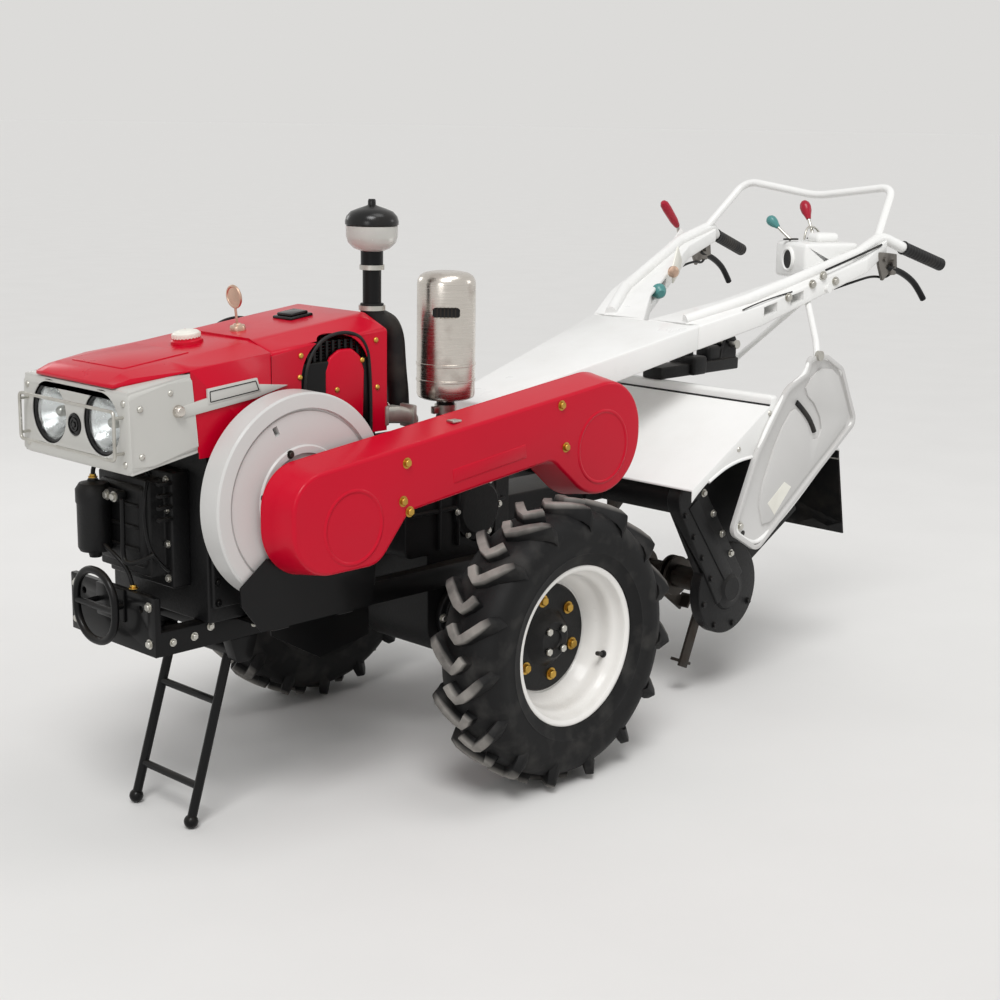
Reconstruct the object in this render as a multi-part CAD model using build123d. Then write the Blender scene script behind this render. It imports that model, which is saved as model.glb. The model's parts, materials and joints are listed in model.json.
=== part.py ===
from build123d import *
import math
import os

# Walking tractor: single-cylinder engine on a two-wheel chassis, side belt drive,
# long handles and a rear rotary tiller. Millimetres, +X forward, +Y to the driver's left, +Z up.
# Every piece is drawn about the wheel axle (X = 0); the finished model is then moved as a whole so
# that the origin is at the middle of the underside of the overall box.

os.makedirs("parts", exist_ok=True)

# ---- clearances and sheet sizes -------------------------------------------------------------
running_gap = 0.1        # radial gap of a shaft in its bore
sheet = 3.0              # pressed steel sheet
plate = 6.0              # flat steel plate

# ---- wheels ---------------------------------------------------------------------------------
tyre_radius = 320.0
tyre_width = 165.0
track = 840.0            # between the middle planes of the two tyres
rim_radius = 180.0       # outer edge of the rim's flanges
rim_seat_radius = 172.0  # where the tyre's beads sit, beside the flanges
rim_well_radius = 158.0  # of the barrel's middle
rim_width = 127.0
rim_wall = 5.0
dish_radius = 127.0      # of the flat middle of the deep dish
disc_inset = 34.0        # from the rim's middle plane towards the tractor
hub_flange_radius = 78.0
axle_radius = 20.0
axle_housing_radius = 52.0
axle_housing_length = 100.0

# ---- chassis --------------------------------------------------------------------------------
case_half_width = 112.0
case_front = 165.0
case_rear = -170.0
case_top = 690.0
case_bottom = 470.0
rail_width = 36.0
rail_height = 50.0
rail_bottom = 400.0
frame_front = 860.0
frame_rear = -140.0
front_plate_thickness = 14.0
front_plate_top = 520.0
weight_bolt_spacing = 200.0
weight_bolt_radius = 7.0

# ---- engine ---------------------------------------------------------------------------------
engine_rear = 300.0
engine_front = 745.0
engine_half_width = 165.0
engine_top = 815.0
head_length = 80.0
head_half_width = 110.0
head_bottom = 520.0
head_top = 755.0
crank_x = 570.0
crank_z = 693.0
flywheel_radius = 216.0
flywheel_gap = 18.0      # between the hood's side and the flywheel
flywheel_width = 60.0
flywheel_rim_width = 46.0
crank_radius = 22.0
filter_radius = 36.0
filter_height = 160.0
filter_y = -50.0

# ---- hood and lamp housing ------------------------------------------------------------------
hood_rear = 280.0
hood_seam = 590.0
hood_front = 930.0
hood_gap = 13.0          # between the engine's side and the hood's outer face
hood_top_front = 958.0   # the flat top, at the two ends
hood_top_rear = 1037.0
hood_side_front = 951.0  # the sides' upper edge, at the two ends
hood_side_rear = 1009.0
hood_shoulder_width = 68.0
nose_length = 35.0       # the front end of the top slopes down to the lip
nose_drop = 14.0
arch_length = 185.0      # side opening over the radiator
arch_start = 48.0        # ahead of the hood's rear end
arch_top = 1005.0
fuel_cap_x = 662.0
float_x = 534.0
water_cap_x = 388.0
hood_bottom = 790.0
nose_half_width = 132.0  # of the hood at its front end
housing_rear = 786.0
housing_rake = 18.0         # of its rear edge, towards the rear at the bottom
housing_step = 2.0          # of the lamp housing's rear edge out from the hood's side
housing_top_step = 4.0      # of its front's upper corners from the hood's side
housing_bottom_step = 10.0  # and of its lower corners
housing_bottom_front = 775.0
housing_bottom_rear = 800.0
lamp_radius = 61.0       # of the housing's holes
lamp_spacing = 182.0
lamp_rim = 6.0           # of a lamp's flange over its hole, and its thickness
lamp_z = 865.0
lamp_depth = 70.0
horn_radius = 22.0
horn_z = 853.0
guard_radius = 3.5
guard_half_width = 164.0
guard_reach = 20.0       # of the lamp guard's bars ahead of the housing
guard_low = -58.0        # of its two bars, from the lamps' middle
guard_high = 34.0

# ---- belt cover -----------------------------------------------------------------------------
cover_gap = 8.0          # between the flywheel and the belt cover's back
cover_depth = 86.0
cover_wall = 2.5
cover_taper = 9.0        # degrees, of the pan's sides
cover_edge_radius = 9.0

# ---- air intake and exhaust -----------------------------------------------------------------
intake_x = 253.0
intake_y = 100.0
intake_radius = 20.0
duct_radius = 26.0
duct_x = 195.0           # of its upright run, behind the pipe
duct_top = 990.0
duct_z = 755.0
exhaust_z = 760.0
cleaner_radius = 57.0
cleaner_bottom = 1150.0
bowl_foot = 13.0         # of the dust bowl over the cleaner's lower end
bowl_height = 53.0
neck_height = 39.0       # of the clamped neck under the bowl
cleaner_top = 1262.0
muffler_x = 80.0
muffler_y = 150.0
muffler_radius = 66.0
muffler_bottom = 830.0
muffler_top = 1115.0
exhaust_radius = 20.0

# ---- front stand and bumper -----------------------------------------------------------------
stand_pivot_x = 645.0
stand_pivot_z = 365.0
stand_foot_x = 752.0
stand_leg_radius = 10.0
stand_foot_radius = 15.0
stand_pin_radius = 8.0
stand_bar_shares = (0.31, 0.80)  # of the leg's length, to the two cross bars
bumper_x = 898.0
bumper_z = 485.0
bumper_half_width = 68.0
bumper_half_height = 72.0
bumper_radius = 8.0

# ---- handles --------------------------------------------------------------------------------
post_front_x = -130.0
post_root_top = 790.0
crotch_x = -790.0
arm_end_x = -1440.0
handle_tube_radius = 15.0
arm_end_top = 1134.0
arm_end_depth = 36.0
fork_top = 935.0
fork_depth = 63.0
fork_edges = (4, 180)       # inner and outer Y of the left arm at the fork
arm_end_edges = (268, 314)  # and at its end
arm_bow = ((0.25, 44), (0.8, 50))  # share of the arm's length, shift outward from a straight arm
grip_radius = 18.0
grip_start = (-66, 322, -22)  # from the arm's end: along X, Y itself, up from the arm's top
grip_end = (-236, 346, -76)
loop_radius = 11.0

console_share = 0.74     # of the arm's length from the fork to the lever box
console_rise = 46.0      # of its top over the arm's top
console_size = (170, 150, 95)
gear_foot = (0.70, 0.72)      # share of the arm's length, share of the box's width
gear_lean = (10, -56, 45)     # of the gear lever, from its foot to its knob
clutch_foot = (0.845, 0.85)
clutch_lean = (-21, -46, 77)
right_lever_share = 0.86
right_lever_lean = (72, 0, 125)
right_bracket_size = (100, 36, 44)
lever_radius = 5.0
knob_radius = 14.0
hanger_share = 0.555     # of the arm's length, to the rod that holds the side plate
link_share = 0.64        # and to the adjusting rod

# ---- rotary tiller --------------------------------------------------------------------------
rotor_x = -745.0
rotor_z = 285.0
rotor_half_width = 298.0
rotor_shaft_radius = 30.0
tine_reach = 235.0
tine_rows = 6
first_blade = 77.0       # degrees
beam_x = -575.0
beam_z = 540.0
beam_radius = 42.0
stub_radius = 15.0       # of the rotor's ends in their bearings
stub_length = 25.0
blade_width = 34.0
blade_thickness = 8.0
blade_turn = 52.0        # degrees from one row to the next
arm_inner_y = 305.0
arm_thickness = 40.0
arm_top_radius = 52.0
arm_low_half = 62.0
bearing_radius = 118.0
shroud_half_width = 385.0
shroud_arc_radius = 345.0
side_plate_border = 13.0
hanger_foot = (-1008, 860)   # X and Z of the rod's foot on the left side plate
flap_thickness = 6.0
flap_lean = 46.0         # of its lower edge behind the upper one
flap_height = 238.0
clevis_x = -1140.0       # pin hole of the clevis for a towed tool or tail wheel
clevis_z = 846.0
clevis_radius = 8.0
clevis_gap = 28.0
clevis_ear = 10.0        # thickness of an ear
clevis_half = 26.0       # of an ear's length
tail_arm_height = 32.0


# ---- sizes that follow from the others -------------------------------------------------------
wheel_y = track / 2
disc_y0 = wheel_y - disc_inset - plate
axle_z = tyre_radius
rail_top = rail_bottom + rail_height
rail_outer_y = case_half_width + rail_width
hood_half_width = engine_half_width + hood_gap
flywheel_inner_y = hood_half_width + flywheel_gap
cover_inner_y = flywheel_inner_y + flywheel_width + cover_gap
stand_half_width = case_half_width - stand_leg_radius - 4


# ---- small helpers --------------------------------------------------------------------------
def box(x0, x1, y0, y1, z0, z1):
    """Block between two opposite corners."""
    middle = ((x0 + x1) / 2, (y0 + y1) / 2, (z0 + z1) / 2)
    return Pos(*middle) * Box(abs(x1 - x0), abs(y1 - y0), abs(z1 - z0))


def rod(start, end, radius):
    """Round bar between two points."""
    line = Vector(*end) - Vector(*start)
    return extrude(Plane(origin=start, z_dir=line) * Circle(radius), line.length)


def disc_y(x, z, radius, y0, y1):
    """Round disc or bore along Y."""
    return rod((x, y0, z), (x, y1, z), radius)


def tube(points, bend, radius):
    """Round bar bent through a row of points."""
    path = FilletPolyline(*points, radius=bend)
    start = Plane(origin=path @ 0, z_dir=path % 0)
    return sweep(start * Circle(radius), path=path)


def outline(corners):
    """Flat outline through rows of (across, up, corner radius)."""
    points = [(across, up) for across, up, _ in corners]
    radii = [radius for _, _, radius in corners]
    return make_face(FilletPolyline(*points, radius=radii, close=True))


def slab_y(face, y0, y1):
    """Side-view outline given thickness from y0 to y1."""
    return extrude(Plane(origin=(0, y1, 0), x_dir=(1, 0, 0), z_dir=(0, -1, 0)) * face, y1 - y0)


def turned(rows, x, z):
    """Solid of revolution about a line along Y through (x, z); rows are (radius, y)."""
    face = make_face(Polyline(*rows, close=True))
    on_plane = Plane(origin=(x, 0, z), x_dir=(0, 0, 1), z_dir=(-1, 0, 0)) * face
    return revolve(on_plane, Axis((x, 0, z), (0, 1, 0)))


def section(x, edges, z0, z1):
    """Rectangle across the tractor at x, for lofts."""
    y0, y1 = edges
    face = make_face(Polyline((y0, z0), (y1, z0), (y1, z1), (y0, z1), close=True))
    return Plane(origin=(x, 0, 0), x_dir=(0, 1, 0), z_dir=(1, 0, 0)) * face


def other_side(shape):
    """Copy mirrored to the tractor's other side."""
    return mirror(shape, about=Plane.XZ)


def both_sides(shape):
    """Shape together with its mirrored copy."""
    return shape + other_side(shape)


# ---- wheels ---------------------------------------------------------------------------------
def bead_line():
    """Half of the line on which the tyre sits, from the rim's well out to its flange."""
    seat = rim_width / 2 - rim_wall
    return [(rim_well_radius, 0.22 * rim_width), (rim_seat_radius - 4, 0.32 * rim_width),
            (rim_seat_radius, seat)]


def tyre():
    """Tyre's outer envelope over its lugs, seated on the rim."""
    half = tyre_width / 2
    seat = rim_width / 2 - rim_wall
    side = bead_line() + [(rim_radius, seat), (rim_radius, half - 6), (0.78 * tyre_radius, half),
                          (tyre_radius - 14, half - 5), (tyre_radius, half - 16)]
    profile = side + [(radius, -y) for radius, y in reversed(side)]
    return turned([(radius, wheel_y + y) for radius, y in profile], 0, axle_z)


def rim():
    """Deep-dish rim: a barrel with two flanges, stepped down to a flat middle near the tractor."""
    half = rim_width / 2
    seat = half - rim_wall
    wall_line = [(radius - rim_wall, y + 2) for radius, y in bead_line()]
    outer_end = wall_line + [(rim_radius - rim_wall, half), (rim_radius, half), (rim_radius, seat)]
    inner_end = [(radius, -y) for radius, y in reversed(outer_end)]
    well = rim_well_radius - rim_wall
    middle_y = -disc_inset
    dish = [(0, middle_y), (dish_radius, middle_y), (dish_radius + 11, middle_y + 20),
            (well - 3, middle_y + 36)]
    back = [(well, middle_y + 26), (dish_radius + 15, middle_y + 12), (dish_radius + 4, middle_y - plate),
            (0, middle_y - plate)]
    tyre_side = list(reversed(bead_line())) + [(radius, -y) for radius, y in bead_line()]
    profile = dish + outer_end + tyre_side + inner_end + back
    body = turned([(radius, wheel_y + y) for radius, y in profile], 0, axle_z)
    return body - disc_y(0, axle_z, axle_radius, disc_y0 - 1, disc_y0 + plate + 1)


def wheel_hub():
    """Half shaft with the flange that the rim's disc is bolted to."""
    shaft = disc_y(0, axle_z, axle_radius, case_half_width + 30, disc_y0 + plate + 28)
    boss = disc_y(0, axle_z, 2 * axle_radius, case_half_width + axle_housing_length + 26, disc_y0)
    flange = disc_y(0, axle_z, hub_flange_radius, disc_y0 - 16, disc_y0)
    return shaft + boss + flange


def axle_housings():
    """Cast housings that carry the two half shafts, joined through the final drive's bore."""
    inner, outer = case_half_width, case_half_width + axle_housing_length
    sleeve = disc_y(0, axle_z, axle_housing_radius, inner, outer)
    collar = disc_y(0, axle_z, axle_housing_radius + 18, inner, inner + 16)
    bore = disc_y(0, axle_z, axle_radius + running_gap, inner - 1, outer + 1)
    return both_sides(sleeve + collar - bore)


# ---- chassis --------------------------------------------------------------------------------
def gearbox():
    """Transmission case with its final drive down to the axle."""
    upper = slab_y(outline([
        (case_rear, case_bottom, 20), (case_front, case_bottom, 20),
        (case_front, case_top - 60, 30), (case_front - 70, case_top, 30), (case_rear, case_top, 25),
    ]), -case_half_width, case_half_width)
    lower = slab_y(outline([
        (-95, case_bottom + 30, 0), (-95, axle_z - 95, 80), (95, axle_z - 95, 80),
        (95, case_bottom + 30, 0),
    ]), -case_half_width, case_half_width)
    return upper + lower


def engine_frame():
    """Two rails with cross members and the bored front plate."""
    inner, outer = case_half_width, rail_outer_y
    frame = box(frame_front - front_plate_thickness, frame_front, -outer, outer,
                rail_bottom, front_plate_top)
    for side in (-1, 1):
        frame += box(frame_rear, frame_front, side * inner, side * outer, rail_bottom, rail_top)
    for x in (engine_rear + 40, engine_front - 120):
        frame += box(x, x + 50, -inner, inner, rail_bottom, rail_bottom + 20)
    for side in (-1, 1):
        y = side * weight_bolt_spacing / 2
        z = front_plate_top - 30
        frame -= rod((frame_front - front_plate_thickness - 1, y, z), (frame_front + 1, y, z),
                     weight_bolt_radius)
    return frame


def stand_bracket():
    """Ears under the rails with the stand's pivot pin."""
    inner, outer = case_half_width, rail_outer_y
    bracket = disc_y(stand_pivot_x, stand_pivot_z, stand_pin_radius, -outer, outer)
    for side in (-1, 1):
        ear = slab_y(outline([
            (stand_pivot_x - 35, rail_bottom, 0), (stand_pivot_x - 18, stand_pivot_z - 18, 12),
            (stand_pivot_x + 18, stand_pivot_z - 18, 12), (stand_pivot_x + 35, rail_bottom, 0),
        ]), min(side * (inner + 6), side * outer), max(side * (inner + 6), side * outer))
        bracket += ear
    return bracket


def front_stand():
    """Folding stand: sleeve on the pin, two legs, two cross bars and ball feet."""
    sleeve_half = case_half_width
    body = disc_y(stand_pivot_x, stand_pivot_z, stand_pin_radius + 7, -sleeve_half, sleeve_half)
    foot_z = stand_foot_radius
    for side in (-1, 1):
        top = (stand_pivot_x, side * (stand_half_width - 2), stand_pivot_z)
        foot = (stand_foot_x, side * stand_half_width, foot_z)
        body += rod(top, foot, stand_leg_radius)
        body += Pos(*foot) * Sphere(stand_foot_radius)
    for share in stand_bar_shares:
        x = stand_pivot_x + share * (stand_foot_x - stand_pivot_x)
        z = stand_pivot_z + share * (foot_z - stand_pivot_z)
        body += disc_y(x, z, 0.8 * stand_leg_radius, -stand_half_width, stand_half_width)
    return body - disc_y(stand_pivot_x, stand_pivot_z, stand_pin_radius + running_gap,
                         -sleeve_half - 1, sleeve_half + 1)


def front_bumper():
    """Oval hoop with a cross bar on two stubs ahead of the front plate."""
    w, h = bumper_half_width, bumper_half_height
    half_loop = [(bumper_x, y, bumper_z + z) for y, z in ((0, h), (w, h), (w, -h), (0, -h))]
    hoop = both_sides(tube(half_loop, 0.95 * w, bumper_radius))
    bar = rod((bumper_x, -w, bumper_z), (bumper_x, w, bumper_z), bumper_radius * 0.9)
    for side in (-1, 1):
        y = side * 0.62 * w
        bar += rod((frame_front, y, bumper_z), (bumper_x, y, bumper_z), bumper_radius * 0.7)
    return hoop + bar


# ---- engine ---------------------------------------------------------------------------------
def engine_block():
    """Crankcase and cylinder as one block standing on the rails, bored for the crankshaft."""
    block = box(engine_rear, engine_front, -engine_half_width, engine_half_width,
                rail_top, engine_top)
    return block - disc_y(crank_x, crank_z, crank_radius + running_gap,
                          engine_half_width - 60, engine_half_width + 1)


def cylinder_head():
    """Head with its rocker cover at the front of the block."""
    head = box(engine_front, engine_front + 0.55 * head_length, -head_half_width, head_half_width,
               head_bottom, head_top)
    cover = box(engine_front + 0.55 * head_length, engine_front + head_length,
                -0.8 * head_half_width, 0.8 * head_half_width, head_bottom + 25, head_top - 15)
    return head + cover


def fuel_filter():
    """Upright fuel filter bowl on a bracket ahead of the head."""
    x = engine_front + head_length + 1 + filter_radius
    low, high = head_bottom + 50, head_bottom + 50 + filter_height
    bowl = rod((x, filter_y, low), (x, filter_y, high), filter_radius)
    arm = box(engine_front + head_length, x, filter_y - 12, filter_y + 12, high - 40, high - 10)
    return bowl + arm


def flywheel():
    """Flywheel with a recessed outer face, on the crankshaft's end."""
    outer_y = flywheel_inner_y + flywheel_width
    recess_radius = flywheel_radius - flywheel_rim_width
    profile = [
        (0, engine_half_width - 58), (crank_radius, engine_half_width - 58),
        (crank_radius, flywheel_inner_y - 10), (0.3 * flywheel_radius, flywheel_inner_y - 10),
        (0.3 * flywheel_radius, flywheel_inner_y), (flywheel_radius, flywheel_inner_y),
        (flywheel_radius, outer_y), (recess_radius, outer_y), (recess_radius, outer_y - 14),
        (0.3 * flywheel_radius, outer_y - 14), (0.3 * flywheel_radius, outer_y), (0, outer_y),
    ]
    return turned(profile, crank_x, crank_z)


# ---- hood -----------------------------------------------------------------------------------
hood_slope = math.atan2(hood_top_rear - hood_top_front, hood_front - hood_rear)


def hood_top_z(x):
    """Height of the hood's flat top above a place along the tractor."""
    return hood_top_front + (hood_front - x) * math.tan(hood_slope)


def hood_side_z(x):
    """Height of the upper edge of the hood's side at a place along the tractor."""
    rise = (hood_side_rear - hood_side_front) / (hood_front - hood_rear)
    return hood_side_front + (hood_front - x) * rise


def hood_section(x, inset, dip=0.0):
    """Cross-section of the hood, drawn in by an inset; dip lowers its top."""
    nose = max(0, (x - housing_rear) / (hood_front - housing_rear))
    half = hood_half_width - inset - nose * (hood_half_width - nose_half_width)
    flat = hood_half_width - hood_shoulder_width - inset
    top = hood_top_z(x) - inset - dip
    side = min(hood_side_z(x) - inset, top)
    low = hood_bottom - inset
    points = [(-half, low), (half, low), (half, side), (flat, top), (-flat, top), (-half, side)]
    face = make_face(Polyline(*points, close=True))
    return Plane(origin=(x, 0, 0), x_dir=(0, 1, 0), z_dir=(1, 0, 0)) * face


def hood_solid(x0, x1, inset):
    """Solid length of hood between two places."""
    return loft([hood_section(x0, inset), hood_section(x1, inset)], ruled=True)


def housing_solid(inset):
    """Lamp housing's outer form with an upright rear, drawn in by an inset."""
    rear = housing_rear - housing_rake - inset
    rear_half = hood_half_width + housing_step
    rows = [
        (rear, rear_half, rear_half, housing_bottom_rear, hood_side_z(rear) - housing_step),
        (hood_front - inset, hood_half_width + housing_bottom_step, hood_half_width + housing_top_step,
         housing_bottom_front, hood_side_front - nose_drop),
    ]
    faces = []
    for x, low_half, high_half, low, high in rows:
        low_y, high_y = low_half - inset, high_half - inset
        points = [(-low_y, low + inset), (low_y, low + inset),
                  (high_y, high - inset), (-high_y, high - inset)]
        faces.append(Plane(origin=(x, 0, 0), x_dir=(0, 1, 0), z_dir=(1, 0, 0))
                     * make_face(Polyline(*points, close=True)))
    return loft(faces, ruled=True)


def behind_housing():
    """Space behind the lamp housing's raked rear edge."""
    rear = housing_rear - housing_rake
    top, low = hood_side_z(rear) + 1, housing_bottom_front
    side = Polyline((rear - 10, low), (rear, low), (housing_rear, top), (rear - 10, top), close=True)
    return slab_y(make_face(side), -hood_half_width - 20, hood_half_width + 20)


def lamp_housing():
    """Open-backed sheet housing with holes for the lamps and the horn."""
    shell = housing_solid(0) - housing_solid(sheet) - behind_housing()
    for side in (-1, 1):
        y = side * lamp_spacing / 2
        shell -= rod((hood_front - 2 * sheet, y, lamp_z), (hood_front + 1, y, lamp_z), lamp_radius)
    return shell - rod((hood_front - 2 * sheet, 0, horn_z), (hood_front + 1, 0, horn_z), horn_radius)


def headlamp():
    """Round lamp body with its flange behind the housing's face and its domed glass in the hole."""
    y = lamp_spacing / 2
    face = hood_front - sheet
    bowl = rod((hood_front - lamp_depth, y, lamp_z), (face, y, lamp_z), lamp_radius - lamp_rim)
    flange = rod((face - lamp_rim, y, lamp_z), (face, y, lamp_z), lamp_radius + lamp_rim)
    glass = rod((face, y, lamp_z), (hood_front + lamp_rim, y, lamp_z), lamp_radius - lamp_rim)
    return bowl + flange + glass


def horn():
    """Horn between the lamps."""
    return rod((hood_front - 30, 0, horn_z), (hood_front + 2, 0, horn_z), horn_radius)


def lamp_guard():
    """Wire guard ahead of the lamps."""
    x = hood_front + guard_reach
    half = guard_half_width
    low, high = lamp_z + guard_low, lamp_z + guard_high
    wires = None
    for z in (low, high):
        points = [(hood_front, -half, z), (x, -half, z), (x, half, z), (hood_front, half, z)]
        wire = tube(points, 12, guard_radius)
        wires = wire if wires is None else wires + wire
    for side in (-1, 1):
        y = side * (half - 40)
        wires += rod((x, y, low), (x, y, high), guard_radius)
    return wires


def front_hood():
    """Front length of the hood, over the tank, with its narrowing nose on the lamp housing."""
    nose_x = hood_front - nose_length
    outer = hood_solid(hood_seam, housing_rear, 0)
    outer += hood_solid(housing_rear, nose_x, 0)
    outer += loft([hood_section(nose_x, 0), hood_section(hood_front, 0, nose_drop)], ruled=True)
    inner = hood_solid(hood_seam - 1, housing_rear, sheet)
    lip = box(housing_rear - housing_rake, hood_front + 1, -hood_half_width - 1, hood_half_width + 1,
              0, hood_bottom + 12)
    return outer - inner - (housing_solid(0) - behind_housing()) - lip


def rear_hood():
    """Rear length of the hood, over the radiator, with its arched side opening."""
    shell = hood_solid(hood_rear, hood_seam, 0)
    shell -= hood_solid(hood_rear + sheet, hood_seam + 1, sheet)
    start, end = hood_rear + arch_start, hood_rear + arch_start + arch_length
    arch = slab_y(outline([
        (start, hood_bottom - 5, 0), (end, hood_bottom - 5, 0),
        (end, arch_top, 0.48 * arch_length), (start, arch_top, 0.48 * arch_length),
    ]), hood_half_width - 30, hood_half_width + 10)
    return shell - arch


def fuel_tank():
    """Fuel tank under the front of the hood, on the engine block."""
    half = hood_half_width - sheet
    return box(hood_seam, engine_front, -half, half, engine_top, hood_top_front - 45)


def radiator():
    """Radiator core behind the side opening, on the engine block."""
    half = hood_half_width - sheet
    return box(engine_rear, hood_seam - 20, -half, half, engine_top, hood_side_front)


def on_hood(x, shape):
    """Shape drawn about its own base, seated square on the sloping hood."""
    return Pos(x, 0, hood_top_z(x)) * Rot(0, math.degrees(hood_slope), 0) * shape


def fuel_cap():
    """Screw cap of the fuel tank."""
    return on_hood(fuel_cap_x, Pos(0, 0, 8) * Cylinder(30, 16) + Pos(0, 0, 21) * Cylinder(23, 10))


def level_float():
    """Water level float: plug, stem and round flag."""
    plug = Pos(0, 0, 6) * Cylinder(16, 12)
    stem = Pos(0, 0, 30) * Cylinder(3.5, 40)
    flag = Pos(0, 0, 70) * Rot(0, 90, 0) * Cylinder(25, 5)
    return on_hood(float_x, plug + stem + flag)


def water_cap():
    """Square filler cap of the radiator."""
    return on_hood(water_cap_x, Pos(0, 0, 6) * Box(64, 64, 12))


# ---- belt cover -----------------------------------------------------------------------------
COVER_OUTLINE = [  # x, z, corner radius, at the cover's back
    (690, 769, 90), (690, 544, 112), (449, 544, 74), (365, 642, 30), (-55, 691, 30),
    (-170, 594, 142), (-370, 594, 142), (-370, 892, 128),
]


def cover_pan(inset, y0, y1):
    """Solid of the belt cover between two depths, with tapered sides, drawn in by an inset."""
    faces = []
    for y in (y0, y1):
        narrowing = inset + (y - cover_inner_y) * math.tan(math.radians(cover_taper))
        face = offset(outline(COVER_OUTLINE), -narrowing)
        faces.append(Plane(origin=(0, y, 0), x_dir=(1, 0, 0), z_dir=(0, -1, 0)) * face)
    return loft(faces, ruled=True)


def belt_cover():
    """Pressed pan over the belts, tapered and rounded at its outer edge."""
    back = cover_inner_y + sheet
    front = cover_inner_y + cover_depth
    pan = cover_pan(0, back, front)
    pan = fillet(pan.faces().sort_by(Axis.Y)[-1].edges(), cover_edge_radius)
    hollow = cover_pan(cover_wall, back - 1, front - cover_wall)
    hollow = fillet(hollow.faces().sort_by(Axis.Y)[-1].edges(), cover_edge_radius - cover_wall)
    return pan - hollow


def belt_cover_back():
    """Flat back plate of the belt cover."""
    return slab_y(outline(COVER_OUTLINE), cover_inner_y, cover_inner_y + sheet)


def cover_brackets():
    """Arms from the engine block and the transmission to the belt cover."""
    front_x = min(crank_x - flywheel_radius - 12, engine_rear + 42)
    front = box(engine_rear, front_x, engine_half_width, cover_inner_y, case_top, case_top + 12)
    rear = box(-140, -95, case_half_width, cover_inner_y, case_top - 32, case_top - 14)
    return front + rear


# ---- intake and exhaust ---------------------------------------------------------------------
def intake_pipe():
    """Upright pipe with the neck that carries the pre-cleaner."""
    pipe = rod((intake_x, intake_y, duct_top), (intake_x, intake_y, cleaner_bottom), intake_radius)
    neck = Cylinder(intake_radius + 4, neck_height)
    return pipe + Pos(intake_x, intake_y, cleaner_bottom + bowl_foot - neck_height / 2) * neck


def air_duct():
    """Hose from the intake pipe down to the engine."""
    points = [
        (intake_x, intake_y, duct_top), (intake_x, intake_y, duct_top - 35),
        (duct_x, intake_y, duct_top - 75), (duct_x, intake_y, duct_z), (engine_rear, intake_y, duct_z),
    ]
    return tube(points, (30, 40, 50), duct_radius)


def pre_cleaner_bowl():
    """Clear dust bowl."""
    middle = cleaner_bottom + bowl_foot + bowl_height / 2
    return Pos(intake_x, intake_y, middle) * Cylinder(cleaner_radius - 2, bowl_height)


def pre_cleaner_cap():
    """Domed cap with its wing nut."""
    base = cleaner_bottom + bowl_foot + bowl_height
    rise = cleaner_top - base
    dome = Pos(0, 0, rise * 0.25) * Cylinder(cleaner_radius, rise * 0.5)
    dome += Pos(0, 0, rise * 0.75) * Cone(cleaner_radius, 20, rise * 0.5)
    nut = Pos(0, 0, rise + 5) * Cylinder(8, 10)
    return Pos(intake_x, intake_y, base) * (dome + nut)


def muffler():
    """Upright silencer can with rounded ends."""
    height = muffler_top - muffler_bottom
    can = Pos(muffler_x, muffler_y, muffler_bottom + height / 2) * Cylinder(muffler_radius, height)
    can = fillet(can.edges().filter_by(GeomType.CIRCLE).sort_by(Axis.Z)[-1], 22)
    return fillet(can.edges().filter_by(GeomType.CIRCLE).sort_by(Axis.Z)[0], 10)


def exhaust_pipe():
    """Pipe from the engine up to the silencer."""
    points = [(engine_rear, muffler_y, exhaust_z), (muffler_x, muffler_y, exhaust_z),
              (muffler_x, muffler_y, muffler_bottom)]
    return tube(points, 45, exhaust_radius)


# ---- handles --------------------------------------------------------------------------------
def handle_post():
    """Folded-sheet post from the transmission to the fork of the handles."""
    root = section(post_front_x, (-62, 62), post_root_top - 75, post_root_top)
    fork = section(crotch_x, (-fork_edges[1], fork_edges[1]), fork_top - fork_depth, fork_top)
    foot = box(post_front_x - 5, post_front_x + 75, -55, 55, case_top, post_root_top - 55)
    return loft([fork, root], ruled=True) + foot


def bowed(share):
    """Shift outward of the left arm, a share of the way from fork to end."""
    stops = ((0, 0), *arm_bow, (1, 0))
    before = max(stop for stop in stops if stop[0] <= share)
    after = min(stop for stop in stops if stop[0] >= share)
    along = (share - before[0]) / max(after[0] - before[0], 0.01)
    return before[1] + along * (after[1] - before[1])


def arm_place(share, edge):
    """Place on the left arm's inner (0) or outer (1) edge, a share of the way from fork to end."""
    x = crotch_x + share * (arm_end_x - crotch_x)
    y = fork_edges[edge] + share * (arm_end_edges[edge] - fork_edges[edge]) + bowed(share)
    top = fork_top + share * (arm_end_top - fork_top)
    return x, y, top


def arm_depth(share):
    """Depth of the arm's channel, a share of the way from fork to end."""
    return fork_depth + share * (arm_end_depth - fork_depth)


def beside_arm(share, edge, rise, size):
    """Block with its long side flat against the left arm's inner or outer face."""
    x, y, top = arm_place(share, edge)
    ahead, behind = arm_place(share - 0.01, edge), arm_place(share + 0.01, edge)
    turn = math.degrees(math.atan2(ahead[1] - behind[1], ahead[0] - behind[0]))
    outward = 1 if edge else -1
    return Pos(x, y, top + rise) * Rot(0, 0, turn) * Pos(0, outward * size[1] / 2, 0) * Box(*size)


def from_arm_end(along, y, rise):
    """Point given from the arm's end."""
    return arm_end_x + along, y, arm_end_top + rise


def arm_end_middle():
    """Y of the middle of the arm's end."""
    return (arm_end_edges[0] + arm_end_edges[1]) / 2


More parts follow.
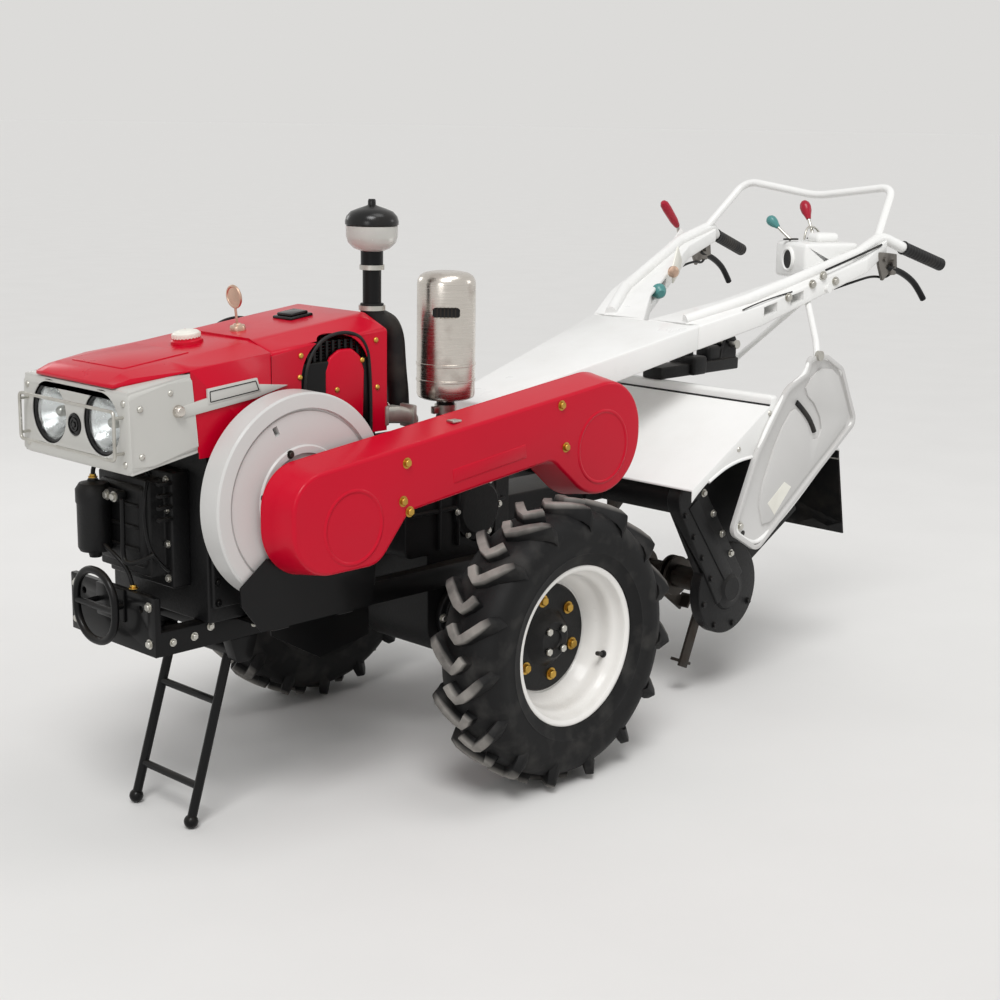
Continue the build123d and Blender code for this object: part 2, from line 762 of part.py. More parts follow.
def handle_tube():
    """Steel tube along the arm's top, bent down to the grip."""
    r = handle_tube_radius
    start, end = Vector(*from_arm_end(*grip_start)), Vector(*from_arm_end(*grip_end))
    inside = start + 0.9 * (end - start)
    fork_y = 0.7 * fork_edges[1]
    knees = []
    for share, _ in arm_bow:
        x, inner_y, top = arm_place(share, 0)
        width = arm_place(share, 1)[1] - inner_y
        knees.append((x, inner_y + (0.7 - 0.2 * share) * width, top + 0.6 * r))
    points = [(crotch_x - 10, fork_y, fork_top + 0.6 * r), *knees,
              from_arm_end(0, arm_end_middle(), 0.6 * r), tuple(start), tuple(inside)]
    return tube(points, (60, 60, 60, 60), r)


def handle_arm():
    """Channel arm from the fork towards the grips, with the steel tube along its top."""
    sections = []
    for share in (1, arm_bow[1][0], arm_bow[0][0], 0):
        x, outer_y, top = arm_place(share, 1)
        edges = (arm_place(share, 0)[1], outer_y)
        sections.append(section(x, edges, top - arm_depth(share), top))
    return loft(sections, ruled=True) + handle_tube()


def grip():
    """Rubber grip, a sleeve closed at its end."""
    return rod(from_arm_end(*grip_start), from_arm_end(*grip_end), grip_radius) - handle_tube()


def clutch_lever():
    """Steering clutch lever under the grip, with its pivot on the arm."""
    y = arm_end_edges[1]
    low = from_arm_end(4, y, -49)
    pivot = box(low[0], low[0] + 32, y, y + 22, low[2], low[2] + 40)
    path = [from_arm_end(20, y + 22, -38), from_arm_end(-22, y + 25, -88),
            from_arm_end(-166, y + 34, -172)]
    return pivot + tube(path, 30, 6) - handle_arm()


def handle_loop():
    """Upper loop that joins the two arms."""
    side = [from_arm_end(15, arm_end_middle(), 8), from_arm_end(-114, arm_end_middle() - 39, 140)]
    middle = from_arm_end(-114, 0, 106)
    points = side + [middle] + [(x, -y, z) for x, y, z in reversed(side)]
    return tube(points, (45, 300, 45), loop_radius) - both_sides(handle_arm())


def gear_console():
    """Lever box on the inside of the left arm."""
    middle_rise = console_rise - console_size[2] / 2
    return beside_arm(console_share, 0, middle_rise, console_size) - handle_arm()


def lever(foot, lean):
    """Lever with its ball knob; lean is from the foot to the knob."""
    foot = Vector(*foot)
    stem = rod(tuple(foot), tuple(foot + 0.95 * Vector(*lean)), lever_radius)
    return stem + Pos(*(foot + Vector(*lean))) * Sphere(knob_radius)


def console_top(share, across):
    """Point on top of the lever box; across is a share of its width from the arm inwards."""
    x, y, _ = arm_place(share, 0)
    return x, y - across * console_size[1], arm_place(console_share, 0)[2] + console_rise


def left_levers():
    """Gear lever and main clutch lever on the lever box."""
    gear = lever(console_top(*gear_foot), gear_lean)
    clutch = lever(console_top(*clutch_foot), clutch_lean)
    console = gear_console()
    return Compound([(gear - console).solid(), (clutch - console).solid()])


def right_lever():
    """Tiller lever with its bracket on the outside of the right arm."""
    bracket = beside_arm(right_lever_share, 1, -30, right_bracket_size)
    x, y, top = arm_place(right_lever_share, 1)
    return other_side(bracket + lever((x, y + right_bracket_size[1] / 2, top - 10), right_lever_lean))


# ---- rotary tiller --------------------------------------------------------------------------
def rotary_case():
    """Drive neck from the transmission, the tiller's gearbox and the beam across it."""
    joint = beam_x + 95
    neck = box(joint, case_rear, -70, 70, beam_z - 60, beam_z + 20)
    gears = box(beam_x - 40, joint, -85, 85, beam_z - 35, beam_z + 32)
    return neck + gears + disc_y(beam_x, beam_z, beam_radius, -arm_inner_y, arm_inner_y)


def side_arm():
    """Chain case from the beam down to the rotor's bearing."""
    lean = math.atan2(rotor_x - beam_x, beam_z - rotor_z)
    rows = []
    for x, z, half, side in ((beam_x, beam_z, arm_top_radius, 1), (beam_x, beam_z, arm_top_radius, -1),
                             (rotor_x, rotor_z, arm_low_half, -1), (rotor_x, rotor_z, arm_low_half, 1)):
        rows.append((x + side * half * math.cos(lean), z + side * half * math.sin(lean)))
    arm = slab_y(make_face(Polyline(*rows, close=True)), arm_inner_y, arm_inner_y + arm_thickness)
    arm += disc_y(beam_x, beam_z, arm_top_radius, arm_inner_y, arm_inner_y + arm_thickness)
    arm += disc_y(rotor_x, rotor_z, bearing_radius, arm_inner_y, arm_inner_y + arm_thickness - 8)
    arm += shroud_bracket()
    bore_radius = stub_radius + running_gap
    bore_end = arm_inner_y + stub_length + 1
    return arm - disc_y(rotor_x, rotor_z, bore_radius, arm_inner_y - 1, bore_end)


def rotor():
    """Rotor tube with its bearing stubs and rows of blades."""
    body = disc_y(rotor_x, rotor_z, rotor_shaft_radius, -rotor_half_width, rotor_half_width)
    end = arm_inner_y + stub_length
    body += disc_y(rotor_x, rotor_z, stub_radius, -end, end)
    return body + rotor_blades()


def rotor_blades():
    """Curved blades in rows along the rotor."""
    blades = None
    pitch = (2 * rotor_half_width - 60) / (tine_rows - 1)
    for row in range(tine_rows):
        y = -rotor_half_width + 30 + row * pitch
        for half in (0, 1):
            turn = first_blade + row * blade_turn + half * 180
            foot_side = 1 if (row + half) % 2 else -1
            root, tip = rotor_shaft_radius - 10, tine_reach - 10
            arm = Pos(0, 0, (root + tip) / 2) * Box(blade_width, blade_thickness, tip - root)
            toe = Pos(8, foot_side * 15, tine_reach - 24) * Box(blade_width + 6, 38, blade_thickness)
            blade = (arm + toe) & Cylinder(tine_reach, 400, rotation=(90, 0, 0))
            blade = Pos(rotor_x, y, rotor_z) * Rot(0, turn, 0) * blade
            blades = blade if blades is None else blades + blade
    return blades


SHROUD_LINE = [(-520, 578), (-840, 760), (-1010, 705), (-1150, 600)]  # x, z of the bent sheet


def shroud():
    """Bent sheet over the rotor with flanged sides and a stiffening bar on top."""
    upper = SHROUD_LINE
    lower = [(x, z - 5) for x, z in reversed(upper)]
    sheet_line = make_face(Polyline(*(upper + lower), close=True))
    body = slab_y(sheet_line, -shroud_half_width, shroud_half_width)
    for side in (-1, 1):
        y = sorted((side * (shroud_half_width - sheet), side * shroud_half_width))
        cheek = slab_y(make_face(Polyline(*upper, close=True)), *y)
        cheek += slab_y(make_face(Polyline(upper[0], upper[1], (upper[1][0], 600), (upper[0][0], 540),
                                           close=True)), *y)
        cheek -= disc_y(rotor_x, rotor_z, shroud_arc_radius, y[0] - 1, y[1] + 1)
        body += cheek
    ridge = box(upper[1][0] - 14, upper[1][0] + 14, -shroud_half_width, shroud_half_width,
                upper[1][1] - 8, upper[1][1] + 16)
    return body + ridge


def shroud_bracket():
    """Post from the side arm up to the shroud."""
    slope = (SHROUD_LINE[1][1] - SHROUD_LINE[0][1]) / (SHROUD_LINE[1][0] - SHROUD_LINE[0][0])
    x0, x1 = beam_x - 40, beam_x + 5
    under = [SHROUD_LINE[0][1] - 5 + slope * (x - SHROUD_LINE[0][0]) for x in (x0, x1)]
    corners = [(x0, beam_z + 30), (x1, beam_z + 30), (x1, under[1]), (x0, under[0])]
    face = make_face(Polyline(*corners, close=True))
    return slab_y(face, arm_inner_y + 5, arm_inner_y + arm_thickness - 5)


SIDE_PLATE_OUTLINE = [  # x, z, corner radius
    (-962, 824, 8), (-974, 862, 18), (-1052, 862, 30), (-1128, 822, 30), (-1208, 668, 30),
    (-780, 384, 40), (-668, 448, 26), (-760, 640, 150), (-880, 792, 80),
]


def side_plate():
    """Side plate of the tiller with a raised border."""
    face = outline(SIDE_PLATE_OUTLINE)
    y = shroud_half_width
    body = slab_y(face, y, y + side_plate_border)
    return body - slab_y(offset(face, -12), y + 4, y + side_plate_border + 1)


def rear_flap():
    """Rubber flap behind the rotor."""
    top = SHROUD_LINE[3]
    low = (top[0] - flap_lean, top[1] - flap_height)
    points = [top, (top[0] - flap_thickness, top[1]), (low[0] - flap_thickness, low[1]), low]
    return slab_y(make_face(Polyline(*points, close=True)), -shroud_half_width + 6, shroud_half_width - 6)


def tail_bracket():
    """Cast arm from the shroud's bar to a clevis for the tail wheel or a towed tool."""
    front, seat = SHROUD_LINE[1][0] + 14, SHROUD_LINE[1][1] + 16
    rear = clevis_x - clevis_half
    top = seat + tail_arm_height
    body = box(rear, front, -32, 32, seat, top)
    for side in (-1, 1):
        inner = side * clevis_gap / 2
        outer = side * (clevis_gap / 2 + clevis_ear)
        body += slab_y(outline([
            (rear, top - 5, 0), (rear, clevis_z + 24, 20), (clevis_x + clevis_half, clevis_z + 24, 20),
            (clevis_x + clevis_half + 20, top - 5, 0),
        ]), min(inner, outer), max(inner, outer))
    return body - disc_y(clevis_x, clevis_z, clevis_radius, -40, 40)


def arm_underside(share):
    """Point on the underside of the left arm's middle."""
    x, inner_y, top = arm_place(share, 0)
    outer_y = arm_place(share, 1)[1]
    return x, (inner_y + outer_y) / 2, top - arm_depth(share)


def hanger_rod():
    """Rod from the left side plate up to the left arm."""
    x, z = hanger_foot
    foot = (x, shroud_half_width + 7, z)
    top = Vector(*arm_underside(hanger_share)) + Vector(0, 0, 12)
    bar = tube([foot, (x - 22, foot[1] - 24, z + 42), tuple(top)], 30, 6)
    return bar - handle_arm() - side_plate()


def link_rod():
    """Adjusting rod from the cast arm up to the left arm."""
    top = Vector(*arm_underside(link_share)) + Vector(0, 0, 12)
    start = (clevis_x - clevis_half, 0, SHROUD_LINE[1][1] + 16 + tail_arm_height / 2)
    bar = tube([start, (start[0] - 30, 8, start[2] + 6), tuple(top)], 25, 6)
    return bar - handle_arm() - tail_bracket()


# ---- all nodes ------------------------------------------------------------------------------
nodes = {
    "gearbox": gearbox(),
    "engine_frame": engine_frame(),
    "axle_housings": axle_housings(),
    "stand_bracket": stand_bracket(),
    "front_bumper": front_bumper(),
    "engine_block": engine_block(),
    "cylinder_head": cylinder_head(),
    "fuel_filter": fuel_filter(),
    "fuel_tank": fuel_tank(),
    "radiator": radiator(),
    "front_hood": front_hood(),
    "rear_hood": rear_hood(),
    "lamp_housing": lamp_housing(),
    "left_headlamp": headlamp(),
    "right_headlamp": other_side(headlamp()),
    "horn": horn(),
    "lamp_guard": lamp_guard(),
    "fuel_cap": fuel_cap(),
    "level_float": level_float(),
    "water_cap": water_cap(),
    "belt_cover": belt_cover(),
    "belt_cover_back": belt_cover_back(),
    "cover_brackets": cover_brackets(),
    "intake_pipe": intake_pipe(),
    "air_duct": air_duct(),
    "pre_cleaner_bowl": pre_cleaner_bowl(),
    "pre_cleaner_cap": pre_cleaner_cap(),
    "muffler": muffler(),
    "exhaust_pipe": exhaust_pipe(),
    "handle_post": handle_post(),
    "left_handle_arm": handle_arm(),
    "right_handle_arm": other_side(handle_arm()),
    "left_grip": grip(),
    "right_grip": other_side(grip()),
    "left_clutch_lever": clutch_lever(),
    "right_clutch_lever": other_side(clutch_lever()),
    "handle_loop": handle_loop(),
    "gear_console": gear_console(),
    "left_levers": left_levers(),
    "right_lever": right_lever(),
    "rotary_case": rotary_case(),
    "left_side_arm": side_arm(),
    "right_side_arm": other_side(side_arm()),
    "shroud": shroud(),
    "left_side_plate": side_plate(),
    "right_side_plate": other_side(side_plate()),
    "rear_flap": rear_flap(),
    "tail_bracket": tail_bracket(),
    "hanger_rod": hanger_rod(),
    "link_rod": link_rod(),
    "front_stand": front_stand(),
    "flywheel": flywheel(),
    "rotor": rotor(),
}
for side, turn in (("left", lambda s: s), ("right", other_side)):
    nodes[f"{side}_tyre"] = turn(tyre())
    nodes[f"{side}_rim"] = turn(rim())
    nodes[f"{side}_hub"] = turn(wheel_hub())

boxes = [shape.bounding_box() for shape in nodes.values()]
rear_end = min(extent.min.X for extent in boxes)
front_end = max(extent.max.X for extent in boxes)
move = Pos(-(rear_end + front_end) / 2, 0, -min(extent.min.Z for extent in boxes))
print("axle at", move.position, "rear", rear_end, "front", front_end)
for name, shape in nodes.items():
    solids = [move * solid for solid in shape.solids()]
    export_step(solids[0] if len(solids) == 1 else Compound(solids), f"parts/{name}.step")
print(len(nodes), "nodes")
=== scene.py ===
import json
import math

import bpy
from mathutils import Matrix, Quaternion, Vector

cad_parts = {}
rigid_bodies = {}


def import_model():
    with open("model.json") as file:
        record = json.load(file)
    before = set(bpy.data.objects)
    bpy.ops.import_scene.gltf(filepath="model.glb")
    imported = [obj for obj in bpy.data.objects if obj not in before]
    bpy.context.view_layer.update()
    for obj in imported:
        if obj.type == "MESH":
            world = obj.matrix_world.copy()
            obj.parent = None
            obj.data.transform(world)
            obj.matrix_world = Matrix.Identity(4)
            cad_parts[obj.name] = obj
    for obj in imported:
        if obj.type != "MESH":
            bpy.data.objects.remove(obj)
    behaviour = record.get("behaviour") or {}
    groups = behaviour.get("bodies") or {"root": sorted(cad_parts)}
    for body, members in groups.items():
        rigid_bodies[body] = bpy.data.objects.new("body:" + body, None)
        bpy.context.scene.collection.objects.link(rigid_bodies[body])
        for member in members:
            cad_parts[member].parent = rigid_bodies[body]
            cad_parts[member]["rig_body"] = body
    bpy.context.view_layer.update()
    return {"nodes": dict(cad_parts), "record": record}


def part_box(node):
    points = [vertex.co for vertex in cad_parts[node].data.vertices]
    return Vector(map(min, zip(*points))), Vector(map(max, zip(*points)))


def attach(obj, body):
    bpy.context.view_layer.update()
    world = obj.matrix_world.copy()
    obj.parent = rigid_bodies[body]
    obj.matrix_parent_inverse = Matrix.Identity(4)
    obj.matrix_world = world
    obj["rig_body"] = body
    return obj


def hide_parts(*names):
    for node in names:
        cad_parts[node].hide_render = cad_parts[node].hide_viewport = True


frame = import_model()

bl_info = {
    "name": "Walking tractor",
    "version": (1, 0, 0),
    "blender": (4, 5, 0),
    "location": "3D View > Sidebar > Tractor",
    "description": "Detailed pieces and finishes of a two-wheel walking tractor with a rotary tiller",
    "category": "Add Mesh",
}

SIDES = ("left", "right")
ALONG, ACROSS, UP = Vector((1, 0, 0)), Vector((0, 1, 0)), Vector((0, 0, 1))


def linear(code):
    """Scene colour of an sRGB hex value."""
    parts = [int(code[i:i + 2], 16) / 255 for i in (1, 3, 5)]
    return tuple(p / 12.92 if p <= 0.04045 else ((p + 0.055) / 1.055) ** 2.4 for p in parts)


def middle(node):
    """Middle of a CAD node's box."""
    low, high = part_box(node)
    return (low + high) / 2


AXLE = Vector((middle("left_hub").x, 0, middle("left_hub").z))
ROTOR = Vector((middle("rotor").x, 0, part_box("left_side_arm")[0].z))


def at(x, y, z):
    """Place given in millimetres: ahead of the wheels' axle, to the left, above the floor."""
    return Vector((AXLE.x + x / 1000, y / 1000, z / 1000))


def outline(y, corners):
    """Places at one distance to the left; corners are (ahead of the axle, above the floor)."""
    return [at(x, y, z) for x, z in corners]


# ---- settings a user may change ---------------------------------------------------------------
def size(name, text, value):
    """Length in metres that a user may change."""
    return bpy.props.FloatProperty(name=name, description=text, default=value, min=0, unit="LENGTH")


def tint(name, text, code):
    """Colour that a user may change."""
    return bpy.props.FloatVectorProperty(name=name, description=text, subtype="COLOR", default=linear(code))


class TractorSizes(bpy.types.PropertyGroup):
    """Sizes of the detailed pieces."""

    lug_pairs: bpy.props.IntProperty(name="Tread lugs", description="Lugs on each half of a tyre", default=15)
    lug_height: size("Lug height", "Height of a tread lug above the carcass", 0.024)
    lug_width: size("Lug width", "Width of a tread lug at its top", 0.019)
    edge_round: size("Pressed edge", "Rounding of pressed sheet edges", 0.004)
    cast_round: size("Cast edge", "Rounding of cast edges", 0.006)


class TractorColours(bpy.types.PropertyGroup):
    """Colours of the finishes."""

    hood_red: tint("Hood red", "Crimson enamel of the hood and belt cover", "#C60026")
    handle_white: tint("Handle white", "White enamel of the handles and shroud", "#F2F2F0")
    rim_white: tint("Rim white", "White enamel of the wheel rims", "#EEECE8")
    lamp_grey: tint("Lamp housing", "Silver-grey enamel of the lamp housing", "#C4C3BE")
    plate_grey: tint("Side plate", "Light grey enamel of flywheel and side plates", "#CFCECC")
    frame_black: tint("Frame black", "Black enamel of the frame", "#0A0A0B")
    cast_black: tint("Casting black", "Black paint on rough castings", "#0C0C0D")
    dust: tint("Field dust", "Dried soil dust", "#8A8072")
    knob_teal: tint("Gear knob", "Teal knob of the gear lever", "#4F8A88")
    knob_red: tint("Clutch knob", "Dark red knobs", "#A3122C")


def sizes():
    """Sizes set by the user."""
    return bpy.context.scene.tractor_sizes


def colours():
    """Colours set by the user."""
    return bpy.context.scene.tractor_colours


# ---- bench tools --------------------------------------------------------------------------------
def deselect():
    """Nothing selected, in object mode."""
    if bpy.context.object and bpy.context.object.mode != "OBJECT":
        bpy.ops.object.mode_set(mode="OBJECT")
    bpy.ops.object.select_all(action="DESELECT")


def hold(piece):
    """Only this piece selected and active."""
    deselect()
    piece.select_set(True)
    bpy.context.view_layer.objects.active = piece
    return piece


def settle():
    """Place, turn and scale of the active piece moved into its mesh."""
    bpy.ops.object.transform_apply(location=True, rotation=True, scale=True)
    return bpy.context.object


def block(low, high):
    """Block between two corners."""
    low, high = Vector(low), Vector(high)
    deselect()
    bpy.ops.mesh.primitive_cube_add(size=1, location=(low + high) / 2, scale=high - low)
    return settle()


def bar(start, end, radius, end_radius=None, sides=24):
    """Round or tapered bar between two places."""
    start, end = Vector(start), Vector(end)
    line = end - start
    turn = line.to_track_quat("Z", "Y").to_euler()
    top = radius if end_radius is None else end_radius
    deselect()
    bpy.ops.mesh.primitive_cone_add(vertices=sides, radius1=radius, radius2=top, depth=line.length,
                                    location=(start + end) / 2, rotation=turn)
    return settle()


def ball(place, radius):
    """Round ball."""
    deselect()
    bpy.ops.mesh.primitive_uv_sphere_add(segments=24, ring_count=12, radius=radius, location=place)
    return settle()


def line(points, closed=False):
    """Chain of edges drawn point after point, in edit mode with all of it selected."""
    points = [Vector(p) for p in points]
    deselect()
    bpy.ops.mesh.primitive_plane_add(size=0.01, location=points[0])
    settle()
    bpy.ops.object.mode_set(mode="EDIT")
    bpy.ops.mesh.select_all(action="SELECT")
    bpy.ops.mesh.merge(type="CENTER")
    for near, far in zip(points, points[1:]):
        bpy.ops.mesh.extrude_vertices_move(TRANSFORM_OT_translate={"value": far - near})
    bpy.ops.mesh.select_all(action="SELECT")
    if closed:
        bpy.ops.mesh.edge_face_add()
    return bpy.context.object


def lathe(rows, centre, axis=ACROSS, steps=64, closed=False):
    """Shell turned about an axis; rows are (radius, place along the axis)."""
    across = UP if abs(axis.z) < 0.9 else ALONG
    points = [Vector(centre) + across * r + axis * a for r, a in rows]
    if closed:
        points.append(points[0])
    piece = line(points)
    bpy.ops.mesh.spin(steps=steps, angle=math.tau, center=centre, axis=axis)
    bpy.ops.mesh.select_all(action="SELECT")
    bpy.ops.mesh.remove_doubles(threshold=0.00002)
    bpy.ops.mesh.normals_make_consistent(inside=False)
    bpy.ops.object.mode_set(mode="OBJECT")
    return piece


def turned(rows, steps=32):
    """Round piece drawn up along Z at the origin; rows are (radius, height)."""
    return lathe(rows, (0, 0, 0), UP, steps)


def slab(points, thickness):
    """Flat outline given thickness along a vector."""
    piece = line(points, closed=True)
    bpy.ops.mesh.extrude_region_move(TRANSFORM_OT_translate={"value": Vector(thickness)})
    bpy.ops.mesh.select_all(action="SELECT")
    bpy.ops.mesh.normals_make_consistent(inside=False)
    bpy.ops.object.mode_set(mode="OBJECT")
    return piece


def wire(points, radius, closed=False, sides=4):
    """Round wire along a smooth line drawn by a route's points."""
    deselect()
    bpy.ops.curve.primitive_nurbs_path_add()
    path = bpy.context.object.data
    path.splines.clear()
    spline = path.splines.new("NURBS")
    spline.points.add(len(points) - 1)
    for point, place in zip(spline.points, points):
        point.co = (*place, 1)
    spline.order_u = 3
    spline.use_endpoint_u = not closed
    spline.use_cyclic_u = closed
    spline.resolution_u = 8
    path.bevel_depth = radius
    path.bevel_resolution = sides
    path.use_fill_caps = not closed
    bpy.ops.object.convert(target="MESH")
    return smooth(settle(), 50)


def tube(places, radius, sides=4):
    """Round wire through places given in millimetres."""
    return wire([at(*place) for place in places], radius, sides=sides)


def modify(piece, kind, **settings):
    """Modifier added with its settings and applied."""
    hold(piece)
    modifier = piece.modifiers.new(kind.lower(), kind)
    for name, value in settings.items():
        setattr(modifier, name, value)
    bpy.ops.object.modifier_apply(modifier=modifier.name)
    return piece


def smooth(piece, angle=35):
    """Smooth shading except over edges sharper than an angle."""
    hold(piece)
    bpy.ops.object.shade_smooth_by_angle(angle=math.radians(angle))
    return piece


def soften(piece, width, segments=2, angle=30):
    """Rounded edges."""
    modify(piece, "BEVEL", width=width, segments=segments, limit_method="ANGLE",
           angle_limit=math.radians(angle), harden_normals=False)
    return smooth(piece)


def brick(low, high, width, segments=2):
    """Block between two places given in millimetres, with rounded edges."""
    return soften(block(at(*low), at(*high)), width, segments)


def cut(piece, tool):
    """Piece with the tool's shape taken out; the tool is used up."""
    modify(piece, "BOOLEAN", object=tool, operation="DIFFERENCE", solver="EXACT")
    bpy.data.objects.remove(tool)
    return piece


def twin(piece, move=None):
    """Copy with a mesh of its own, moved by a matrix."""
    copy = piece.copy()
    copy.data = piece.data.copy()
    bpy.context.scene.collection.objects.link(copy)
    if move is not None:
        copy.data.transform(move)
        if move.determinant() < 0:
            copy.data.flip_normals()
    return copy


def join(pieces):
    """Pieces joined into the first of them."""
    hold(pieces[0])
    for piece in pieces:
        piece.select_set(True)
    if len(pieces) > 1:
        bpy.ops.object.join()
    return bpy.context.object


MIRROR = Matrix.Scale(-1, 4, ACROSS)


def turn_about(centre, axis, degrees):
    """Matrix that turns about a line."""
    place = Matrix.Translation(centre)
    return place @ Matrix.Rotation(math.radians(degrees), 4, axis) @ place.inverted()


def facing(place, direction):
    """Matrix that takes a piece drawn up along Z at the origin to a place and direction."""
    return Matrix.Translation(place) @ Vector(direction).to_track_quat("Z", "Y").to_matrix().to_4x4()


# ---- surfaces: the material slot of the part, and the finish that it gets -------------------------
RED = ("red_paint", "sprayed_enamel_red")
WHITE = ("white_paint", "sprayed_enamel_white")
SILVER = ("silver_paint", "satin_enamel_silver")
GREY = ("grey_paint", "satin_enamel_grey")
BLACK = ("black_paint", "brushed_enamel_black")
BLACK_ON_CAST = ("black_casting", "brushed_enamel_black")
CAST_IRON = ("black_casting", "painted_sand_cast_iron")
STAINLESS = ("bright_steel", "polished_stainless")
ZINC = ("bright_steel", "zinc_plated_steel")
YELLOW_ZINC = ("bright_steel", "yellow_zinc_steel")
OILED_STEEL = ("bright_steel", "spring_steel")
SILVERED = ("bright_steel", "vacuum_silvered_steel")
CAST_ZINC = ("bright_steel", "cast_zinc")
CAST_ALUMINIUM = ("bright_steel", "cast_aluminium")
WORN_STEEL = ("worn_steel", "spring_steel")
COPPER = ("copper", "bare_copper")
GLASS = ("lamp_glass", "pressed_lamp_glass")
CLEAR_PLASTIC = ("clear_plastic", "cloudy_clear_plastic")
BLACK_PLASTIC = ("black_plastic", "black_moulded_plastic")
WHITE_PLASTIC = ("white_paint", "white_moulded_plastic")
TEAL_KNOB = ("black_plastic", "teal_moulded_knob")
RED_KNOB = ("red_paint", "red_moulded_knob")
RUBBER = ("black_rubber", "black_moulded_rubber")
TYRE_RUBBER = ("tyre_rubber", "moulded_tyre_rubber")

# finish of a CAD node that keeps its own shape, by its material slot
PLAIN = (RED, WHITE, SILVER, GREY, BLACK, CAST_IRON, STAINLESS, WORN_STEEL, COPPER, GLASS, CLEAR_PLASTIC,
         BLACK_PLASTIC, RUBBER, TYRE_RUBBER)
FINISH_OF = dict(PLAIN)
RIM_FINISH = "sprayed_enamel_rim"


def finish(piece, name, surface, replaces=(), body="chassis"):
    """Name, finish, replaced nodes and body of a finished piece."""
    slot, material = surface
    piece.name = name
    piece.data.name = name
    piece.data.materials.clear()
    piece.data.materials.append(bpy.data.materials[material])
    if replaces:
        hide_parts(*replaces)
    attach(piece, body)
    return piece


def pan_screw(radius):
    """Domed screw head, drawn up along Z at the origin."""
    return smooth(turned([(0, 0.6 * radius), (0.5 * radius, 0.52 * radius), (0.85 * radius, 0.3 * radius),
                          (radius, 0), (radius, -0.2 * radius), (0, -0.2 * radius)], 16), 40)


def hex_bolt(radius, washer=True):
    """Hexagon bolt head with its washer, drawn up along Z at the origin."""
    head = bar((0, 0, 0.12 * radius), (0, 0, 0.95 * radius), radius, sides=6)
    soften(head, 0.12 * radius, 1)
    parts = [head]
    if washer:
        parts.append(bar((0, 0, -0.1 * radius), (0, 0, 0.22 * radius), 1.35 * radius, sides=16))
    return smooth(join(parts))


def row_of(pattern, places, direction):
    """Copies of a pattern at places, all facing one way; the pattern is used up."""
    copies = [twin(pattern, facing(place, direction)) for place in places]
    bpy.data.objects.remove(pattern)
    return join(copies)


def bolt_circle(centre, radius, count, start=0):
    """Places round a centre, in a plane square to the axle."""
    turns = [math.radians(start + 360 * n / count) for n in range(count)]
    return [centre + Vector((radius * math.cos(t), 0, radius * math.sin(t))) for t in turns]


def fixings(name, places, direction, radius, surface=ZINC, body="chassis"):
    """Row of hexagon bolts as one finished piece."""
    finish(row_of(hex_bolt(radius), places, direction), name, surface, body=body)


def both(piece, name, surface, replaces=None, body="chassis"):
    """Finished left piece and its mirrored right twin; a wheel and a replaced node are named without a side."""
    for side, item in zip(SIDES, (piece, twin(piece, MIRROR))):
        on = body if body == "chassis" else side + "_" + body
        finish(item, side + "_" + name, surface, [side + "_" + replaces] if replaces else (), on)


def side_fixings(name, places, pattern, surface=ZINC):
    """Row of a bolt's or screw's copies on the left side, mirrored to the right."""
    both(row_of(pattern, places, ACROSS), name, surface)


def remodelled(node):
    """Copy of a CAD node with its flat faces merged."""
    piece = bpy.data.objects.new(node + "_form", frame["nodes"][node].data.copy())
    bpy.context.scene.collection.objects.link(piece)
    hold(piece)
    bpy.ops.mesh.customdata_custom_splitnormals_clear()
    bpy.ops.object.mode_set(mode="EDIT")
    bpy.ops.mesh.select_all(action="SELECT")
    bpy.ops.mesh.remove_doubles(threshold=0.00001)
    bpy.ops.mesh.dissolve_limited(angle_limit=math.radians(0.5))
    bpy.ops.mesh.normals_make_consistent(inside=False)
    bpy.ops.object.mode_set(mode="OBJECT")
    return piece


def edge_turns(piece):
    """Angle between the two faces of every edge, in degrees."""
    faces = {}
    for polygon in piece.data.polygons:
        for key in polygon.edge_keys:
            faces.setdefault(key, []).append(polygon.normal)
    return {key: math.degrees(pair[0].angle(pair[1], 0)) for key, pair in faces.items() if len(pair) == 2}


def round_edges(piece, width, chosen, segments=3):
    """Rounded edges where chosen(start, end, turn in degrees) holds."""
    hold(piece)
    turns = edge_turns(piece)
    mesh = piece.data
    for item in (*mesh.polygons, *mesh.vertices):
        item.select = False
    for edge in mesh.edges:
        start, end = (mesh.vertices[i].co for i in edge.vertices)
        edge.select = chosen(start, end, turns.get(edge.key, 0))
    bpy.ops.object.mode_set(mode="EDIT")
    bpy.ops.mesh.select_mode(type="EDGE")
    bpy.ops.mesh.bevel(offset=width, segments=segments, affect="EDGES", clamp_overlap=False)
    bpy.ops.mesh.select_mode(type="VERT")
    bpy.ops.object.mode_set(mode="OBJECT")
    return piece


def sheared(piece):
    """Thin sheet whose cut edges are only eased."""
    return round_edges(piece, 0.0008, sharp(60), 1)


def lengthwise(least=10, most=180, straight=0.9):
    """Rule that picks long edges along the tractor where two faces meet at an angle."""
    def rule(start, end, turn):
        run = end - start
        return least < turn < most and run.length > 0.05 and abs(run.x) > straight * run.length
    return rule


def crosswise(low, high):
    """Rule that picks sharp edges across the tractor between two heights."""
    def rule(start, end, turn):
        run = end - start
        return turn > 40 and abs(run.y) > 0.5 and low < min(start.z, end.z) and max(start.z, end.z) < high
    return rule


def sharp(least=30):
    """Rule that picks edges where two faces meet sharply."""
    return lambda start, end, turn: turn > least


# ---- finishes -------------------------------------------------------------------------------------
def new_material(name):
    """Empty node material: its tree, its shader and the socket that gives each point's place."""
    material = bpy.data.materials.new(name)
    material.use_nodes = True
    tree = material.node_tree
    tree.nodes.clear()
    shader = tree.nodes.new("ShaderNodeBsdfPrincipled")
    output = tree.nodes.new("ShaderNodeOutputMaterial")
    tree.links.new(shader.outputs[0], output.inputs["Surface"])
    return tree, shader, add(tree, "TexCoord").outputs["Object"]


